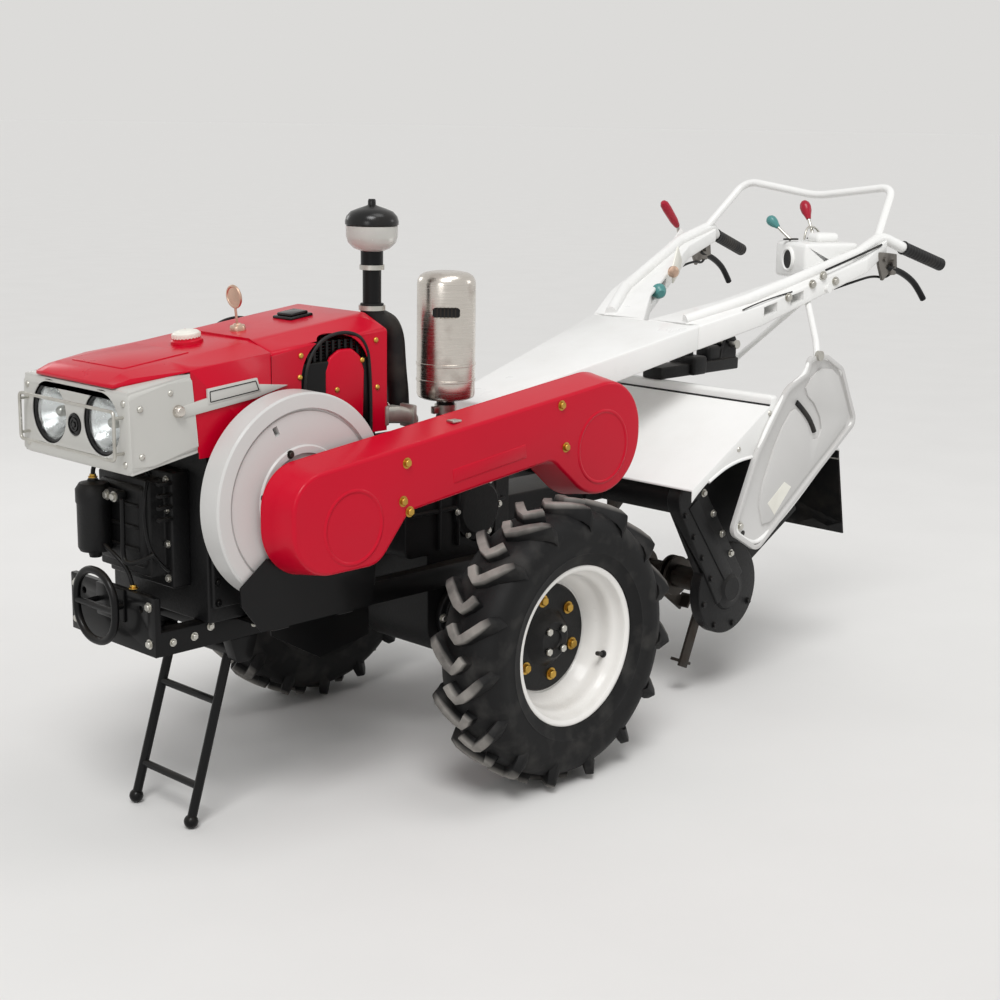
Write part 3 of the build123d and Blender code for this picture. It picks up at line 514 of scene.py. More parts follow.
def add(tree, kind, settings=None, links=None):
    """Shader node with its settings and links."""
    node = tree.nodes.new("ShaderNode" + kind)
    for name, value in (settings or {}).items():
        if isinstance(name, int) or name in node.inputs:
            node.inputs[name].default_value = value
        else:
            setattr(node, name, value)
    for name, source in (links or {}).items():
        tree.links.new(source, node.inputs[name])
    return node


def noise(tree, where, scale, detail):
    """Noise over a place; a higher scale makes it finer."""
    return add(tree, "TexNoise", {"Scale": scale, "Detail": detail}, {"Vector": where}).outputs["Fac"]


def scaled(tree, value, low, high, start=0, end=1):
    """Value between start and end taken to between low and high."""
    return add(tree, "MapRange", {"From Min": start, "From Max": end, "To Min": low, "To Max": high},
               {"Value": value}).outputs[0]


def combined(tree, operation, first, second):
    """Two values combined by a math node."""
    return add(tree, "Math", {"operation": operation}, {0: first, 1: second}).outputs[0]


def blend(tree, share, under, over):
    """Mix of two colours by a share; the first may be another node's socket."""
    settings, links = {"data_type": "RGBA", 7: over}, {0: share}
    (settings if isinstance(under, tuple) else links)[6] = under
    return add(tree, "Mix", settings, links).outputs[2]


def facing_up(tree):
    """How far a face looks up."""
    return add(tree, "SeparateXYZ", None, {0: add(tree, "NewGeometry").outputs["Normal"]}).outputs["Z"]


def shade(shader, values, links):
    """Values and links on the shader's own sockets."""
    for name, value in values.items():
        shader.inputs[name].default_value = value
    for name, source in links.items():
        shader.id_data.links.new(source, shader.inputs[name])


def dress(tree, shader, values, colour, gloss, relief, strength, depth):
    """Values, colour, roughness and bump of a finish."""
    bump = add(tree, "Bump", {"Strength": strength, "Distance": depth}, {"Height": relief})
    shade(shader, values, {"Base Color": colour, "Roughness": gloss, "Normal": bump.outputs[0]})


def rgba(colour, factor=1.0):
    """Colour with alpha, lightened or darkened."""
    return (*(min(1.0, c * factor) for c in colour), 1)


def enamel(name, colour, roughness, coat, grain, dust):
    """Sprayed enamel on pressed steel: faint orange peel, uneven gloss, dust on what faces up."""
    tree, shader, where = new_material(name)
    # orange peel of a spray coat, ripples 6 to 10 mm apart, drawn coarse so that they still show
    peel = noise(tree, where, 1 / grain, 2)
    # hand-sized patches where the coat is thicker or wiped
    patch = noise(tree, where, 9, 4)
    # fine specks of grit
    speck = noise(tree, where, 420, 3)
    tone = blend(tree, patch, rgba(colour, 0.95), rgba(colour, 1.02))
    lying = scaled(tree, facing_up(tree), 0, 2 * dust, 0.2)
    mottled = scaled(tree, patch, 0, 1, 0.35, 0.7)
    soiled = combined(tree, "MULTIPLY", combined(tree, "MULTIPLY", lying, mottled), speck)
    skin = blend(tree, soiled, tone, rgba(colours().dust))
    gloss = scaled(tree, patch, roughness - 0.03, roughness + 0.05, 0.3, 0.7)
    values = {"Coat Weight": coat, "Coat Roughness": 0.12, "Specular IOR Level": 0.16}
    dress(tree, shader, values, skin, gloss, peel, 0.10, 0.0006)


def casting(name, colour, roughness):
    """Sand-cast iron under thin black paint: pebbled skin, worn and dusty high spots."""
    tree, shader, where = new_material(name)
    # sand grain, drawn at 4 mm so that it still shows
    sand = noise(tree, where, 250, 3)
    # shallow pits left by the mould
    pits = add(tree, "TexVoronoi", {"Scale": 140}, {"Vector": where}).outputs["Distance"]
    patch = noise(tree, where, 12, 4)
    relief = add(tree, "Math", {"operation": "MULTIPLY_ADD", 1: 0.5}, {0: pits, 2: sand}).outputs[0]
    film = combined(tree, "MULTIPLY", scaled(tree, facing_up(tree), 0, 0.09, 0.1), patch)
    tone = blend(tree, patch, rgba(colour, 0.8), rgba(colour, 1.3))
    skin = blend(tree, film, tone, rgba(colours().dust))
    gloss = scaled(tree, sand, roughness - 0.1, roughness + 0.15)
    dress(tree, shader, {"Specular IOR Level": 0.28}, skin, gloss, relief, 0.35, 0.0008)


def bare_metal(name, code, roughness, stain, stain_share, streak=(1, 1, 1)):
    """Bare or plated metal: fine drawn lines and dull stains."""
    tree, shader, where = new_material(name)
    colour = linear(code)
    drawn = add(tree, "Mapping", {"Scale": streak}, {"Vector": where}).outputs[0]
    lines = noise(tree, drawn, 60, 4)
    patch = noise(tree, where, 22, 5)
    dull = scaled(tree, patch, 0, stain_share, 0.5, 0.75)
    tone = blend(tree, lines, rgba(colour, 0.85), rgba(colour, 1.1))
    skin = blend(tree, dull, tone, rgba(linear(stain)))
    gloss = scaled(tree, lines, roughness - 0.08, roughness + 0.14)
    dress(tree, shader, {"Metallic": 1.0}, skin, gloss, lines, 0.12, 0.0003)


def moulded(name, colour, roughness, grain, light, clear=0.0):
    """Moulded plastic or rubber: leathery mould grain and faint flow marks."""
    tree, shader, where = new_material(name)
    grit = noise(tree, where, 1 / grain, 2)
    flow = noise(tree, where, 14, 3)
    tone = blend(tree, flow, rgba(colour, 0.8), rgba(colour, 1.25))
    bloom = scaled(tree, flow, 0, light, 0.5, 0.8)
    skin = blend(tree, bloom, tone, rgba(colours().dust))
    gloss = scaled(tree, grit, roughness - 0.08, roughness + 0.1)
    values = {"Specular IOR Level": 0.38, "Transmission Weight": clear}
    dress(tree, shader, values, skin, gloss, grit, 0.2, 0.0004)


def tread_rubber():
    """Tyre rubber: near-black compound, the lugs' tops light grey as rubbed-in soil dust and painted highlight,
    soil dust on the sidewall.
    """
    tree, shader, where = new_material("moulded_tyre_rubber")
    from_axle = add(tree, "Mapping", {"Location": (-AXLE.x, 0, -AXLE.z)}, {"Vector": where}).outputs[0]
    flat = add(tree, "Mapping", {"Scale": (1, 0, 1)}, {"Vector": from_axle}).outputs[0]
    radius = add(tree, "VectorMath", {"operation": "LENGTH"}, {0: flat}).outputs["Value"]
    patch = noise(tree, where, 16, 5)
    grit = noise(tree, where, 260, 3)
    # lug tops lighter by their radius: partly soil dust, partly a painted highlight, so made lighter than dust
    # alone
    worn = scaled(tree, radius, 0, 0.75, 0.306, 0.318)
    uneven = scaled(tree, patch, 0.35, 1, 0.3, 0.62)
    wall = scaled(tree, patch, 0, 0.09, 0.5, 0.8)
    dusty = combined(tree, "MAXIMUM", combined(tree, "MULTIPLY", worn, uneven), wall)
    skin = blend(tree, dusty, rgba(linear("#0B0B0C")), rgba(linear("#ACA8A2")))
    gloss = scaled(tree, patch, 0.5, 0.78)
    dress(tree, shader, {"Specular IOR Level": 0.28}, skin, gloss, grit, 0.25, 0.0006)


def fluted_glass():
    """Pressed headlamp glass: clear, with upright flutes 17 mm apart."""
    tree, shader, where = new_material("pressed_lamp_glass")
    flutes = add(tree, "TexWave", {"bands_direction": "Y", "Scale": 18, "Distortion": 0.4},
                 {"Vector": where}).outputs["Fac"]
    gloss = scaled(tree, noise(tree, where, 40, 3), 0.02, 0.12)
    bump = add(tree, "Bump", {"Strength": 0.15, "Distance": 0.0006}, {"Height": flutes})
    shade(shader, {"Base Color": rgba(linear("#F4F7F8")), "Transmission Weight": 1.0, "IOR": 1.45},
          {"Roughness": gloss, "Normal": bump.outputs[0]})


def make_materials():
    """All finishes, each named for its material and process."""
    c = colours()
    enamel("sprayed_enamel_red", c.hood_red, 0.30, 0.14, 0.010, 0.01)
    enamel("sprayed_enamel_white", c.handle_white, 0.30, 0.30, 0.009, 0.12)
    enamel("sprayed_enamel_rim", c.rim_white, 0.34, 0.25, 0.008, 0.22)
    enamel("satin_enamel_silver", c.lamp_grey, 0.36, 0.2, 0.006, 0.12)
    enamel("satin_enamel_grey", c.plate_grey, 0.38, 0.15, 0.006, 0.20)
    enamel("brushed_enamel_black", c.frame_black, 0.36, 0.12, 0.007, 0.09)
    casting("painted_sand_cast_iron", c.cast_black, 0.45)
    # polished stainless sheet, rolled round: lines run round the can
    bare_metal("polished_stainless", "#D8D2CA", 0.22, "#6B4A40", 0.35, (0.3, 0.3, 8))
    bare_metal("zinc_plated_steel", "#C9C7C0", 0.34, "#7A705F", 0.3)
    bare_metal("yellow_zinc_steel", "#C9A24E", 0.36, "#6E5320", 0.35)
    bare_metal("spring_steel", "#45413D", 0.46, "#3A2C22", 0.6)
    bare_metal("bare_copper", "#D9BBA6", 0.34, "#7A4A33", 0.35)
    bare_metal("cast_aluminium", "#B9B6B0", 0.48, "#6F6A60", 0.5)
    bare_metal("cast_zinc", "#85817C", 0.46, "#3F3A36", 0.7)
    bare_metal("vacuum_silvered_steel", "#F6F6F4", 0.24, "#BDBDB8", 0.15)
    moulded("black_moulded_rubber", linear("#0C0C0D"), 0.55, 0.004, 0.12)
    moulded("black_moulded_plastic", linear("#0B0B0C"), 0.22, 0.005, 0.04)
    moulded("cloudy_clear_plastic", linear("#D9D9D3"), 0.22, 0.006, 0.10, 0.35)
    moulded("teal_moulded_knob", c.knob_teal, 0.30, 0.006, 0.05)
    moulded("red_moulded_knob", c.knob_red, 0.30, 0.006, 0.05)
    moulded("white_moulded_plastic", linear("#EDE9DE"), 0.35, 0.006, 0.08)
    tread_rubber()
    fluted_glass()


class Piece(bpy.types.Operator):
    """Common ground of the tractor's operators."""

    bl_options = {"REGISTER", "UNDO"}

    def execute(self, context):
        self.make()
        deselect()
        return {"FINISHED"}


class TRACTOR_OT_finishes(Piece):
    """Give every CAD node its finish."""

    bl_idname = "tractor.finishes"
    bl_label = "Finishes"

    def make(self):
        make_materials()
        slots = {row["node"]: row["material_slot"] for row in frame["record"]["subparts"]}
        for node, piece in frame["nodes"].items():
            piece.data.materials.clear()
            piece.data.materials.append(bpy.data.materials[FINISH_OF[slots[node]]])
        for side in SIDES:
            frame["nodes"][side + "_rim"].data.materials[0] = bpy.data.materials[RIM_FINISH]


class TRACTOR_OT_tyres(Piece):
    """Tyre carcass with its chevron lugs."""

    bl_idname = "tractor.tyres"
    bl_label = "Tyres"

    def make(self):
        parts = [self.carcass()]
        lug = self.lug()
        step = 360 / sizes().lug_pairs
        for number in range(sizes().lug_pairs):
            parts.append(twin(lug, turn_about(self.centre, ACROSS, number * step)))
            over = Matrix.Translation((0, 2 * self.centre.y, 0)) @ MIRROR
            parts.append(twin(lug, turn_about(self.centre, ACROSS, (number + 0.5) * step) @ over))
        bpy.data.objects.remove(lug)
        both(smooth(join(parts), 40), "tyre_tread", TYRE_RUBBER, "tyre", "wheel")

    def carcass(self):
        """Casing from bead to bead with its rounded crown."""
        low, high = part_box("left_tyre")
        self.centre = (low + high) / 2
        self.outer = (high.z - low.z) / 2
        self.half = (high.y - low.y) / 2
        crown = self.outer - sizes().lug_height
        half = self.half
        side = [(0.1585, 0.030), (0.1685, 0.042), (0.1725, 0.059), (0.1805, 0.0605), (0.1815, 0.066),
                (0.188, 0.069), (0.205, half - 0.009),
                (0.209, half - 0.005), (0.214, half - 0.006), (0.235, half - 0.002), (0.255, half - 0.001),
                (0.270, half - 0.006), (0.282, half - 0.015), (crown - 0.003, 0.048), (crown + 0.001, 0.022)]
        rows = side + [(crown + 0.002, 0.0)] + [(r, -y) for r, y in reversed(side)]
        return lathe(rows, self.centre, ACROSS, 96, closed=True)

    def lug(self):
        """One lug: a leg from the shoulder to the crown's middle, then a short hook across it."""
        width, top = sizes().lug_width, self.outer - 0.001
        base = self.outer - sizes().lug_height - 0.006
        stations = [  # degrees forward, out from the middle, top radius, base radius
            (1.2, -0.024, top - 0.001, base), (4.2, -0.012, top, base), (6.4, 0.003, top, base),
            (5.0, 0.020, top, base), (1.6, 0.043, top - 0.001, base - 0.002),
            (-1.8, 0.063, top - 0.004, base - 0.010), (-4.2, self.half - 0.007, top - 0.012, base - 0.020),
            (-6.0, self.half - 0.001, top - 0.036, base - 0.036),
        ]
        rings = []
        for place, (turn, y, high, low) in enumerate(stations):
            before = stations[max(place - 1, 0)]
            after = stations[min(place + 1, len(stations) - 1)]
            run = Vector((math.radians(after[0] - before[0]) * high, after[1] - before[1], 0)).normalized()
            aside = Vector((-run.y, run.x, 0))
            ring = []
            for radius, half in ((low, 0.85 * width), (high, 0.5 * width), (high, -0.5 * width),
                                 (low, -0.85 * width)):
                angle = math.radians(turn) + aside.x * half / high
                across = max(-self.half, min(self.half, y + aside.y * half))
                ring.append(self.centre + Vector((radius * math.sin(angle), across, radius * math.cos(angle))))
            rings.append(ring)
        return skin_of(rings)


def skin_of(rings):
    """Closed body through rings of four corners, joined ring by ring."""
    piece = line(rings[0], closed=True)
    for near, far in zip(rings, rings[1:]):
        bpy.ops.mesh.extrude_region_move()
        bpy.ops.object.mode_set(mode="OBJECT")
        chosen = [v for v in piece.data.vertices if v.select]
        for vertex in chosen:
            nearest = min(range(len(near)), key=lambda i: (near[i] - vertex.co).length)
            vertex.co = far[nearest]
        bpy.ops.object.mode_set(mode="EDIT")
    bpy.ops.mesh.select_all(action="SELECT")
    bpy.ops.mesh.normals_make_consistent(inside=False)
    bpy.ops.object.mode_set(mode="OBJECT")
    return soften(piece, 0.0022, 2, 25)


class TRACTOR_OT_wheel_centres(Piece):
    """Black centre plates, wide enough to cover the rims' white discs as painted shade, with their plated nuts, and
    the rims' valve stems.
    """

    bl_idname = "tractor.wheel_centres"
    bl_label = "Wheel centres"

    def make(self):
        centre = middle("left_hub")
        place = Vector((centre.x, 0, centre.z))
        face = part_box("left_hub")[1].y - 0.028
        # black cast hub plate reaching out over the white rim disc, where it is painted shade
        plate = lathe([(0, face + 0.0005), (0.118, face + 0.0005), (0.122, face + 0.004), (0.118, face + 0.008),
                       (0.066, face + 0.009), (0.058, face + 0.014), (0.046, face + 0.030), (0.040, face + 0.034),
                       (0.022, face + 0.034), (0.020, face + 0.030), (0, face + 0.030)], place, ACROSS, 64)
        smooth(plate, 30)
        nuts = row_of(hex_bolt(0.0105), bolt_circle(place + ACROSS * (face + 0.009), 0.088, 6, 20), ACROSS)
        dog = row_of(hex_bolt(0.009, False), bolt_circle(place + ACROSS * (face + 0.034), 0.032, 4, 45), ACROSS)
        seat, tip = at(-141, 441, 262), at(-117, 448, 270)
        grommet = bar(seat, seat + (tip - seat) * 0.25, 0.009, 0.007, 16)
        valve = bar(seat, tip, 0.0045, 0.0035, 12)
        cap = bar(tip, tip + (tip - seat) * 0.35, 0.0055, 0.005, 12)
        for piece, name, surface in (
                (plate, "wheel_centre", CAST_IRON), (nuts, "wheel_nuts", YELLOW_ZINC), (dog, "hub_bolts", ZINC),
                (smooth(join([valve, cap, grommet])), "valve_stem", RUBBER)):
            both(piece, name, surface, body="wheel")


class TRACTOR_OT_formed(Piece):
    """Pressings and castings with rounded edges in place of the plain CAD forms."""

    bl_idname = "tractor.formed"
    bl_label = "Pressings and castings"

    def make(self):
        press, cast = sizes().edge_round, sizes().cast_round
        self.done(sheared(remodelled("front_hood")), "front_hood")
        rear = round_edges(remodelled("rear_hood"), 2 * press, lengthwise(8, 75), 4)
        self.done(sheared(rear), "rear_hood")
        housing = round_edges(remodelled("lamp_housing"), 4 * press, self.housing_edges(), 4)
        self.done(sheared(housing), "lamp_housing")
        for node in ("handle_post", "left_handle_arm", "right_handle_arm"):
            piece = round_edges(remodelled(node), 1.3 * press, lengthwise(30, 180, 0.7), 3)
            self.done(self.pierced(piece) if node.endswith("arm") else piece, node)
        shroud = round_edges(remodelled("shroud"), 0.011, crosswise(0.768, 0.79), 5)
        self.done(round_edges(shroud, 0.0012, sharp(60), 2), "shroud")
        for node in ("left_side_plate", "right_side_plate", "stand_bracket", "belt_cover_back",
                     "cover_brackets", "left_rim", "right_rim", "rear_flap"):
            self.done(round_edges(remodelled(node), 0.0012, sharp(40), 2), node)
        for node in ("gearbox", "axle_housings", "engine_block", "cylinder_head", "rotary_case",
                     "left_side_arm", "right_side_arm", "tail_bracket", "fuel_tank", "radiator"):
            self.done(round_edges(remodelled(node), 0.7 * cast, sharp(40), 3), node)
        for node in ("engine_frame", "rotor", "left_hub", "right_hub"):
            self.done(round_edges(remodelled(node), 0.0016, sharp(40), 2), node)

    def pierced(self, arm):
        """Arm with its two windows."""
        low, high = (corner.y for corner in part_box(arm.name.removesuffix("_form")))
        for front, floor in ((-957, 952), (-1045, 978)):
            sill = [at(front, 0, floor), at(front - 44, 0, floor + 13), at(front - 44, 0, floor + 38),
                    at(front, 0, floor + 26)]
            arm = cut(arm, slab([p + ACROSS * low for p in sill], ACROSS * (high - low)))
        return arm

    def done(self, piece, node):
        """Formed piece with the finish and body of the node that it replaces."""
        row = next(row for row in frame["record"]["subparts"] if row["node"] == node)
        slot = row["material_slot"]
        surface = (slot, RIM_FINISH if node.endswith("_rim") else FINISH_OF[slot])
        finish(smooth(piece, 40), node + "_formed", surface, [node], frame["nodes"][node]["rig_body"])

    def housing_edges(self):
        """Rule that picks the lamp housing's outer edges that meet at its front and run back from it."""
        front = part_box("lamp_housing")[1].x
        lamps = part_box("left_headlamp")

        def rule(start, end, turn):
            run = end - start
            if turn < 40 or run.length < 0.1:
                return False
            at_front = max(start.x, end.x) > front - 0.0015
            outer = max(abs(start.y), abs(end.y)) > lamps[1].y + 0.004
            low = max(start.z, end.z) < lamps[0].z
            return at_front and outer and not low
        return rule


class TRACTOR_OT_hood(Piece):
    """Caps, float, side trim with its blank badge, pressed panel and the arch with its guard."""

    bl_idname = "tractor.hood"
    bl_label = "Hood details"

    def make(self):
        self.caps()
        self.panel()
        self.trim()
        self.arch()

    def on_top(self, x):
        """Matrix onto the hood's top, which falls 12 mm in 100 mm towards the lamps, at a place along it."""
        nose_x, nose_z, rise, lean = 930, 958, 0.12154, math.radians(6.93)
        return Matrix.Translation(at(x, 0, nose_z + (nose_x - x) * rise)) @ Matrix.Rotation(lean, 4, ACROSS)

    def above(self, node):
        """Matrix onto the hood's top under a node."""
        low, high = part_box(node)
        return self.on_top(((low.x + high.x) / 2 - AXLE.x) * 1000)

    def caps(self):
        """Fuel cap on its red neck, copper float, square water cap."""
        neck = turned([(0, -0.002), (0.0335, -0.002), (0.0325, 0.006), (0.029, 0.009), (0.028, 0.014),
                       (0, 0.014)], 48)
        cap = turned([(0, 0.026), (0.014, 0.0258), (0.017, 0.0235), (0.024, 0.0232), (0.0275, 0.0205),
                      (0.0285, 0.015), (0.0282, 0.0105), (0, 0.0105)], 48)
        ribs = [block((0.0275, -0.0012, 0.0115), (0.0295, 0.0012, 0.019))]
        ribs += [twin(ribs[0], Matrix.Rotation(math.radians(15 * n), 4, UP)) for n in range(1, 24)]
        cap = smooth(join([cap, *ribs]), 30)
        for piece, name, surface, over in ((smooth(neck), "fuel_cap_neck", RED, ()),
                                           (cap, "fuel_cap_knob", WHITE_PLASTIC, ["fuel_cap"])):
            piece.data.transform(self.above("fuel_cap"))
            finish(piece, name, surface, over)
        plug = turned([(0, 0.004), (0.0, 0.014), (0.007, 0.014), (0.010, 0.011), (0.015, 0.010), (0.0165, 0.006),
                       (0.0165, -0.002), (0, -0.002)])
        stem = bar((0, 0, 0.01), (0, 0, 0.05), 0.0028)
        flag = lathe([(0, 0.0012), (0.019, 0.0012), (0.0205, 0.0026), (0.0235, 0.0026), (0.0248, 0.001),
                      (0.0248, -0.001), (0.0235, -0.0026), (0.0205, -0.0026), (0.019, -0.0012), (0, -0.0012)],
                     (0, 0, 0.070), ALONG, 48)
        for piece, name in ((smooth(join([plug, stem])), "float_stem"), (smooth(flag), "float_flag")):
            piece.data.transform(self.above("level_float"))
            finish(piece, name, COPPER, ("level_float",) if name == "float_flag" else ())
        base = soften(block((-0.031, -0.031, -0.002), (0.031, 0.031, 0.006)), 0.003, 3)
        lid = soften(block((-0.024, -0.024, 0.005), (0.024, 0.024, 0.012)), 0.003, 3)
        cap = join([base, lid])
        cap.data.transform(self.above("water_cap"))
        finish(smooth(cap), "water_cap_lid", BLACK_PLASTIC, ["water_cap"])

    def panel(self):
        """Raised panel pressed into the top of the front hood."""
        panel = soften(block((0, -0.088, -0.002), (0.155, 0.088, 0.0022)), 0.0018, 3)
        panel.data.transform(self.on_top(722))
        finish(panel, "front_hood_pressing", RED)

    def trim(self):
        """Bright strip along the side, its blank badge and knob, on both sides."""
        y = 182.5
        strip = [(823, 880), (812, 893), (803, 898), (751, 907), (620, 922), (550, 914), (634, 895), (803, 875)]
        badge = [(750, 925), (629, 936), (620, 908), (749, 894)]
        inset = [(744.5, 919.5), (633.5, 930), (626, 911.5), (743.5, 899)]
        plate = [slab(outline(y + out, corners), (0, -0.006, 0))
                 for out, corners in ((0, strip), (1.2, badge))]
        both(join([soften(part, 0.0015, 2, 50) for part in plate]), "side_trim", SILVER)
        edges = outline(y + 1.3, inset)
        border = [bar(start, end, 0.0010, sides=8) for start, end in zip(edges, edges[1:] + edges[:1])]
        both(join(border), "blank_badge_border", BLACK_PLASTIC)
        knob = turned([(0, 0.012), (0.008, 0.0105), (0.0115, 0.006), (0.0125, 0.0), (0.0125, -0.008),
                       (0, -0.008)], 24)
        knob.data.transform(facing(at(818, y + 1, 889), ACROSS))
        both(smooth(knob), "trim_knob", STAINLESS)

    def arch(self):
        """Rubber-edged side opening with its wire grid, the red guard and screws."""
        y = 178
        sill = [(325, 795), (325, 940), (345, 990), (378, 1006), (420, 1008), (462, 995), (492, 962), (507, 912),
                (507, 795)]
        edge = wire(outline(y - 1, sill), 0.0038)
        both(edge, "arch_edging", RUBBER)
        fins = [block(at(328, y - 17, 800), at(508, y - 14, 801.5))]
        fins += [twin(fins[0], Matrix.Translation((0, 0, 0.0065 * n))) for n in range(1, 30)]
        tubes = [block(at(334, y - 15, 798), at(340, y - 11, 992))]
        tubes += [twin(tubes[0], Matrix.Translation((0.0165 * n, 0, 0))) for n in range(1, 11)]
        both(join(fins + tubes), "radiator_core", CAST_IRON)
        tongue = slab([at(344, y - 1, 820), at(341, y - 1, 925), at(352, y - 1, 955), at(376, y - 1, 973),
                       at(410, y - 1, 973), at(436, y - 1, 958), at(448, y - 1, 930), at(448, y - 1, 820)],
                      (0, -0.010, 0))
        round_edges(tongue, 0.006, sharp(60), 4)
        both(smooth(tongue, 50), "arch_guard", RED)
        spots = [at(349, y - 1, 946), at(418, y - 1, 890), at(514, y + 0.5, 969), at(517, y + 0.5, 925),
                 at(312, y + 0.5, 985), at(308, y + 0.5, 885)]
        side_fixings("arch_screws", spots, pan_screw(0.0062), YELLOW_ZINC)


class TRACTOR_OT_lamps(Piece):
    """Headlamps, horn, wire guard and the lamp housing's screws."""

    bl_idname = "tractor.lamps"
    bl_label = "Lamps"

    def make(self):
        low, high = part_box("left_headlamp")
        centre = (low + high) / 2
        self.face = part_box("lamp_housing")[1].x
        centre.x = 0
        outer = (high.z - low.z) / 2 - 0.006
        face = self.face
        shell = lathe([(outer - 0.0005, face - 0.003), (outer - 0.0005, face - 0.010), (0.038, face - 0.052),
                       (0, face - 0.066), (0, face - 0.070), (0.042, face - 0.056), (outer + 0.005, face - 0.012),
                       (outer + 0.005, face - 0.003)], centre, ALONG, 64, closed=True)
        both(smooth(shell), "lamp_shell", BLACK_PLASTIC, "headlamp")
        mirror = lathe([(outer - 0.004, face - 0.012), (0.050, face - 0.022), (0.040, face - 0.037),
                        (0.026, face - 0.050), (0.010, face - 0.058), (0, face - 0.059)], centre, ALONG, 64)
        both(smooth(mirror, 60), "lamp_reflector", SILVERED)
        glass = lathe([(0, face + 0.0055), (0.020, face + 0.0045), (0.036, face + 0.0015), (0.048, face - 0.004),
                       (outer - 0.0055, face - 0.009), (outer - 0.0055, face - 0.012), (0.047, face - 0.0065),
                       (0.035, face - 0.001), (0.020, face + 0.002), (0, face + 0.003)], centre, ALONG, 64)
        both(smooth(glass, 50), "lamp_lens", GLASS)
        bulb = [bar(centre + ALONG * (face - 0.056), centre + ALONG * (face - 0.030), 0.011),
                ball(centre + ALONG * (face - 0.028), 0.011)]
        both(smooth(join(bulb)), "lamp_bulb_cap", ZINC)
        rim = lathe([(outer - 0.007, face - 0.006), (outer - 0.003, face - 0.0035), (outer - 0.0008, face - 0.005),
                     (outer - 0.0008, face - 0.012), (outer - 0.007, face - 0.012)], centre, ALONG, 64, closed=True)
        both(smooth(rim), "lamp_bezel", BLACK_PLASTIC)
        self.horn()
        self.guard()
        corners = ((-0.166, 0.913), (-0.168, 0.797), (0.168, 0.797), (0.166, 0.913))
        spots = [Vector((face, y, z)) for y, z in corners]
        finish(row_of(pan_screw(0.0068), spots, ALONG), "housing_front_screws", ZINC)
        spots = [at(834, 181, 925), at(905, 184.5, 902), at(905, 186.5, 812)]
        side_fixings("housing_side_screws", spots, pan_screw(0.0062))

    def horn(self):
        """Horn face with its slotted rings."""
        centre = middle("horn")
        centre.x = 0
        face = self.face
        rows = [(0, face + 0.004), (0.005, face + 0.004), (0.006, face + 0.001), (0.009, face + 0.001),
                (0.010, face + 0.003), (0.013, face + 0.003), (0.014, face + 0.0005), (0.017, face + 0.0005),
                (0.018, face + 0.0035), (0.0215, face + 0.002), (0.0218, face - 0.026), (0, face - 0.030)]
        finish(smooth(lathe(rows, centre, ALONG, 40)), "horn_grille", BLACK_PLASTIC, ["horn"])

    def guard(self):
        """Rounded wire frame ahead of the lamps on four stubs."""
        low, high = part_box("lamp_guard")
        radius = 0.0034
        x, half = high.x - radius, high.y - radius
        top, bottom, bend = high.z - radius, low.z + radius, 0.02
        loop = []
        for dy, dz in ((1, 1), (1, -1), (-1, -1), (-1, 1)):
            y, z = dy * half, top if dz > 0 else bottom
            corner = [Vector((x, y - dy * bend, z)), Vector((x, y, z)), Vector((x, y, z - dz * bend))]
            loop += corner if dy * dz > 0 else corner[::-1]
        parts = [wire(loop, radius, closed=True)]
        for y in (half, -half):
            for z in (top - 0.012, bottom + 0.012):
                parts.append(bar((self.face - 0.001, y, z), (x, y, z), 0.9 * radius, sides=12))
        finish(smooth(join(parts)), "lamp_guard_frame", ZINC, ["lamp_guard"])


class TRACTOR_OT_belt_cover(Piece):
    """Belt cover with its pressed rings, bead, bolts and clip, a black sheet below it painting the flywheel's
    shade, and the sump apron.
    """

    bl_idname = "tractor.belt_cover"
    bl_label = "Belt cover"

    def make(self):
        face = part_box("belt_cover")[1].y
        y = face * 1000
        finish(smooth(sheared(remodelled("belt_cover")), 40), "belt_cover_pressing", RED, ["belt_cover"])
        raised = []
        for x, z, r in ((-226, 716, 0.082), (524, 645, 0.074)):
            raised.append(lathe([(r + 0.006, -0.002), (r + 0.0035, 0.0012), (r, 0.0022), (r - 0.0035, 0.0012),
                                 (r - 0.006, -0.002)], at(x, y, z), ACROSS, 64))
        start, end, half = (30, 738), (250, 711), 15
        along = (at(end[0], y, end[1]) - at(start[0], y, start[1])).normalized()
        side = Vector((-along.z, 0, along.x)) * half / 1000
        near, far = at(start[0], y - 2, start[1]), at(end[0], y - 2, end[1])
        bead = slab([near + side, far + side, far - side, near - side], (0, 0.0035, 0))
        raised.append(soften(bead, 0.0022, 3, 60))
        finish(smooth(join(raised), 40), "belt_cover_pressings", RED)
        spots = [(-83, 826), (-100, 730), (382, 757), (392, 679), (374, 655)]
        fixings("belt_cover_bolts", outline(y - 1, spots), ACROSS, 0.0085, YELLOW_ZINC)
        finish(brick((198, 300, 816), (224, 322, 822), 0.002), "belt_cover_clip", ZINC)
        sheet = (0, 0.003, 0)
        # black sheet on two feet over the flywheel's lower part, as painted shade below the belt cover
        corners = [(741, 542), (674, 591), (500, 562), (385, 555), (400, 444), (690, 444), (738, 505)]
        guard = slab(outline(260, corners), sheet)
        feet = [brick((x, 146, 440), (x + 40, 262, 446), 0.001, 1) for x in (450, 620)]
        finish(join([guard, *feet]), "lower_guard", BLACK)
        corners = [(566, 446), (560, 380), (430, 306), (290, 330), (290, 446)]
        apron = slab(outline(126, corners), sheet)
        finish(apron, "sump_apron", BLACK)


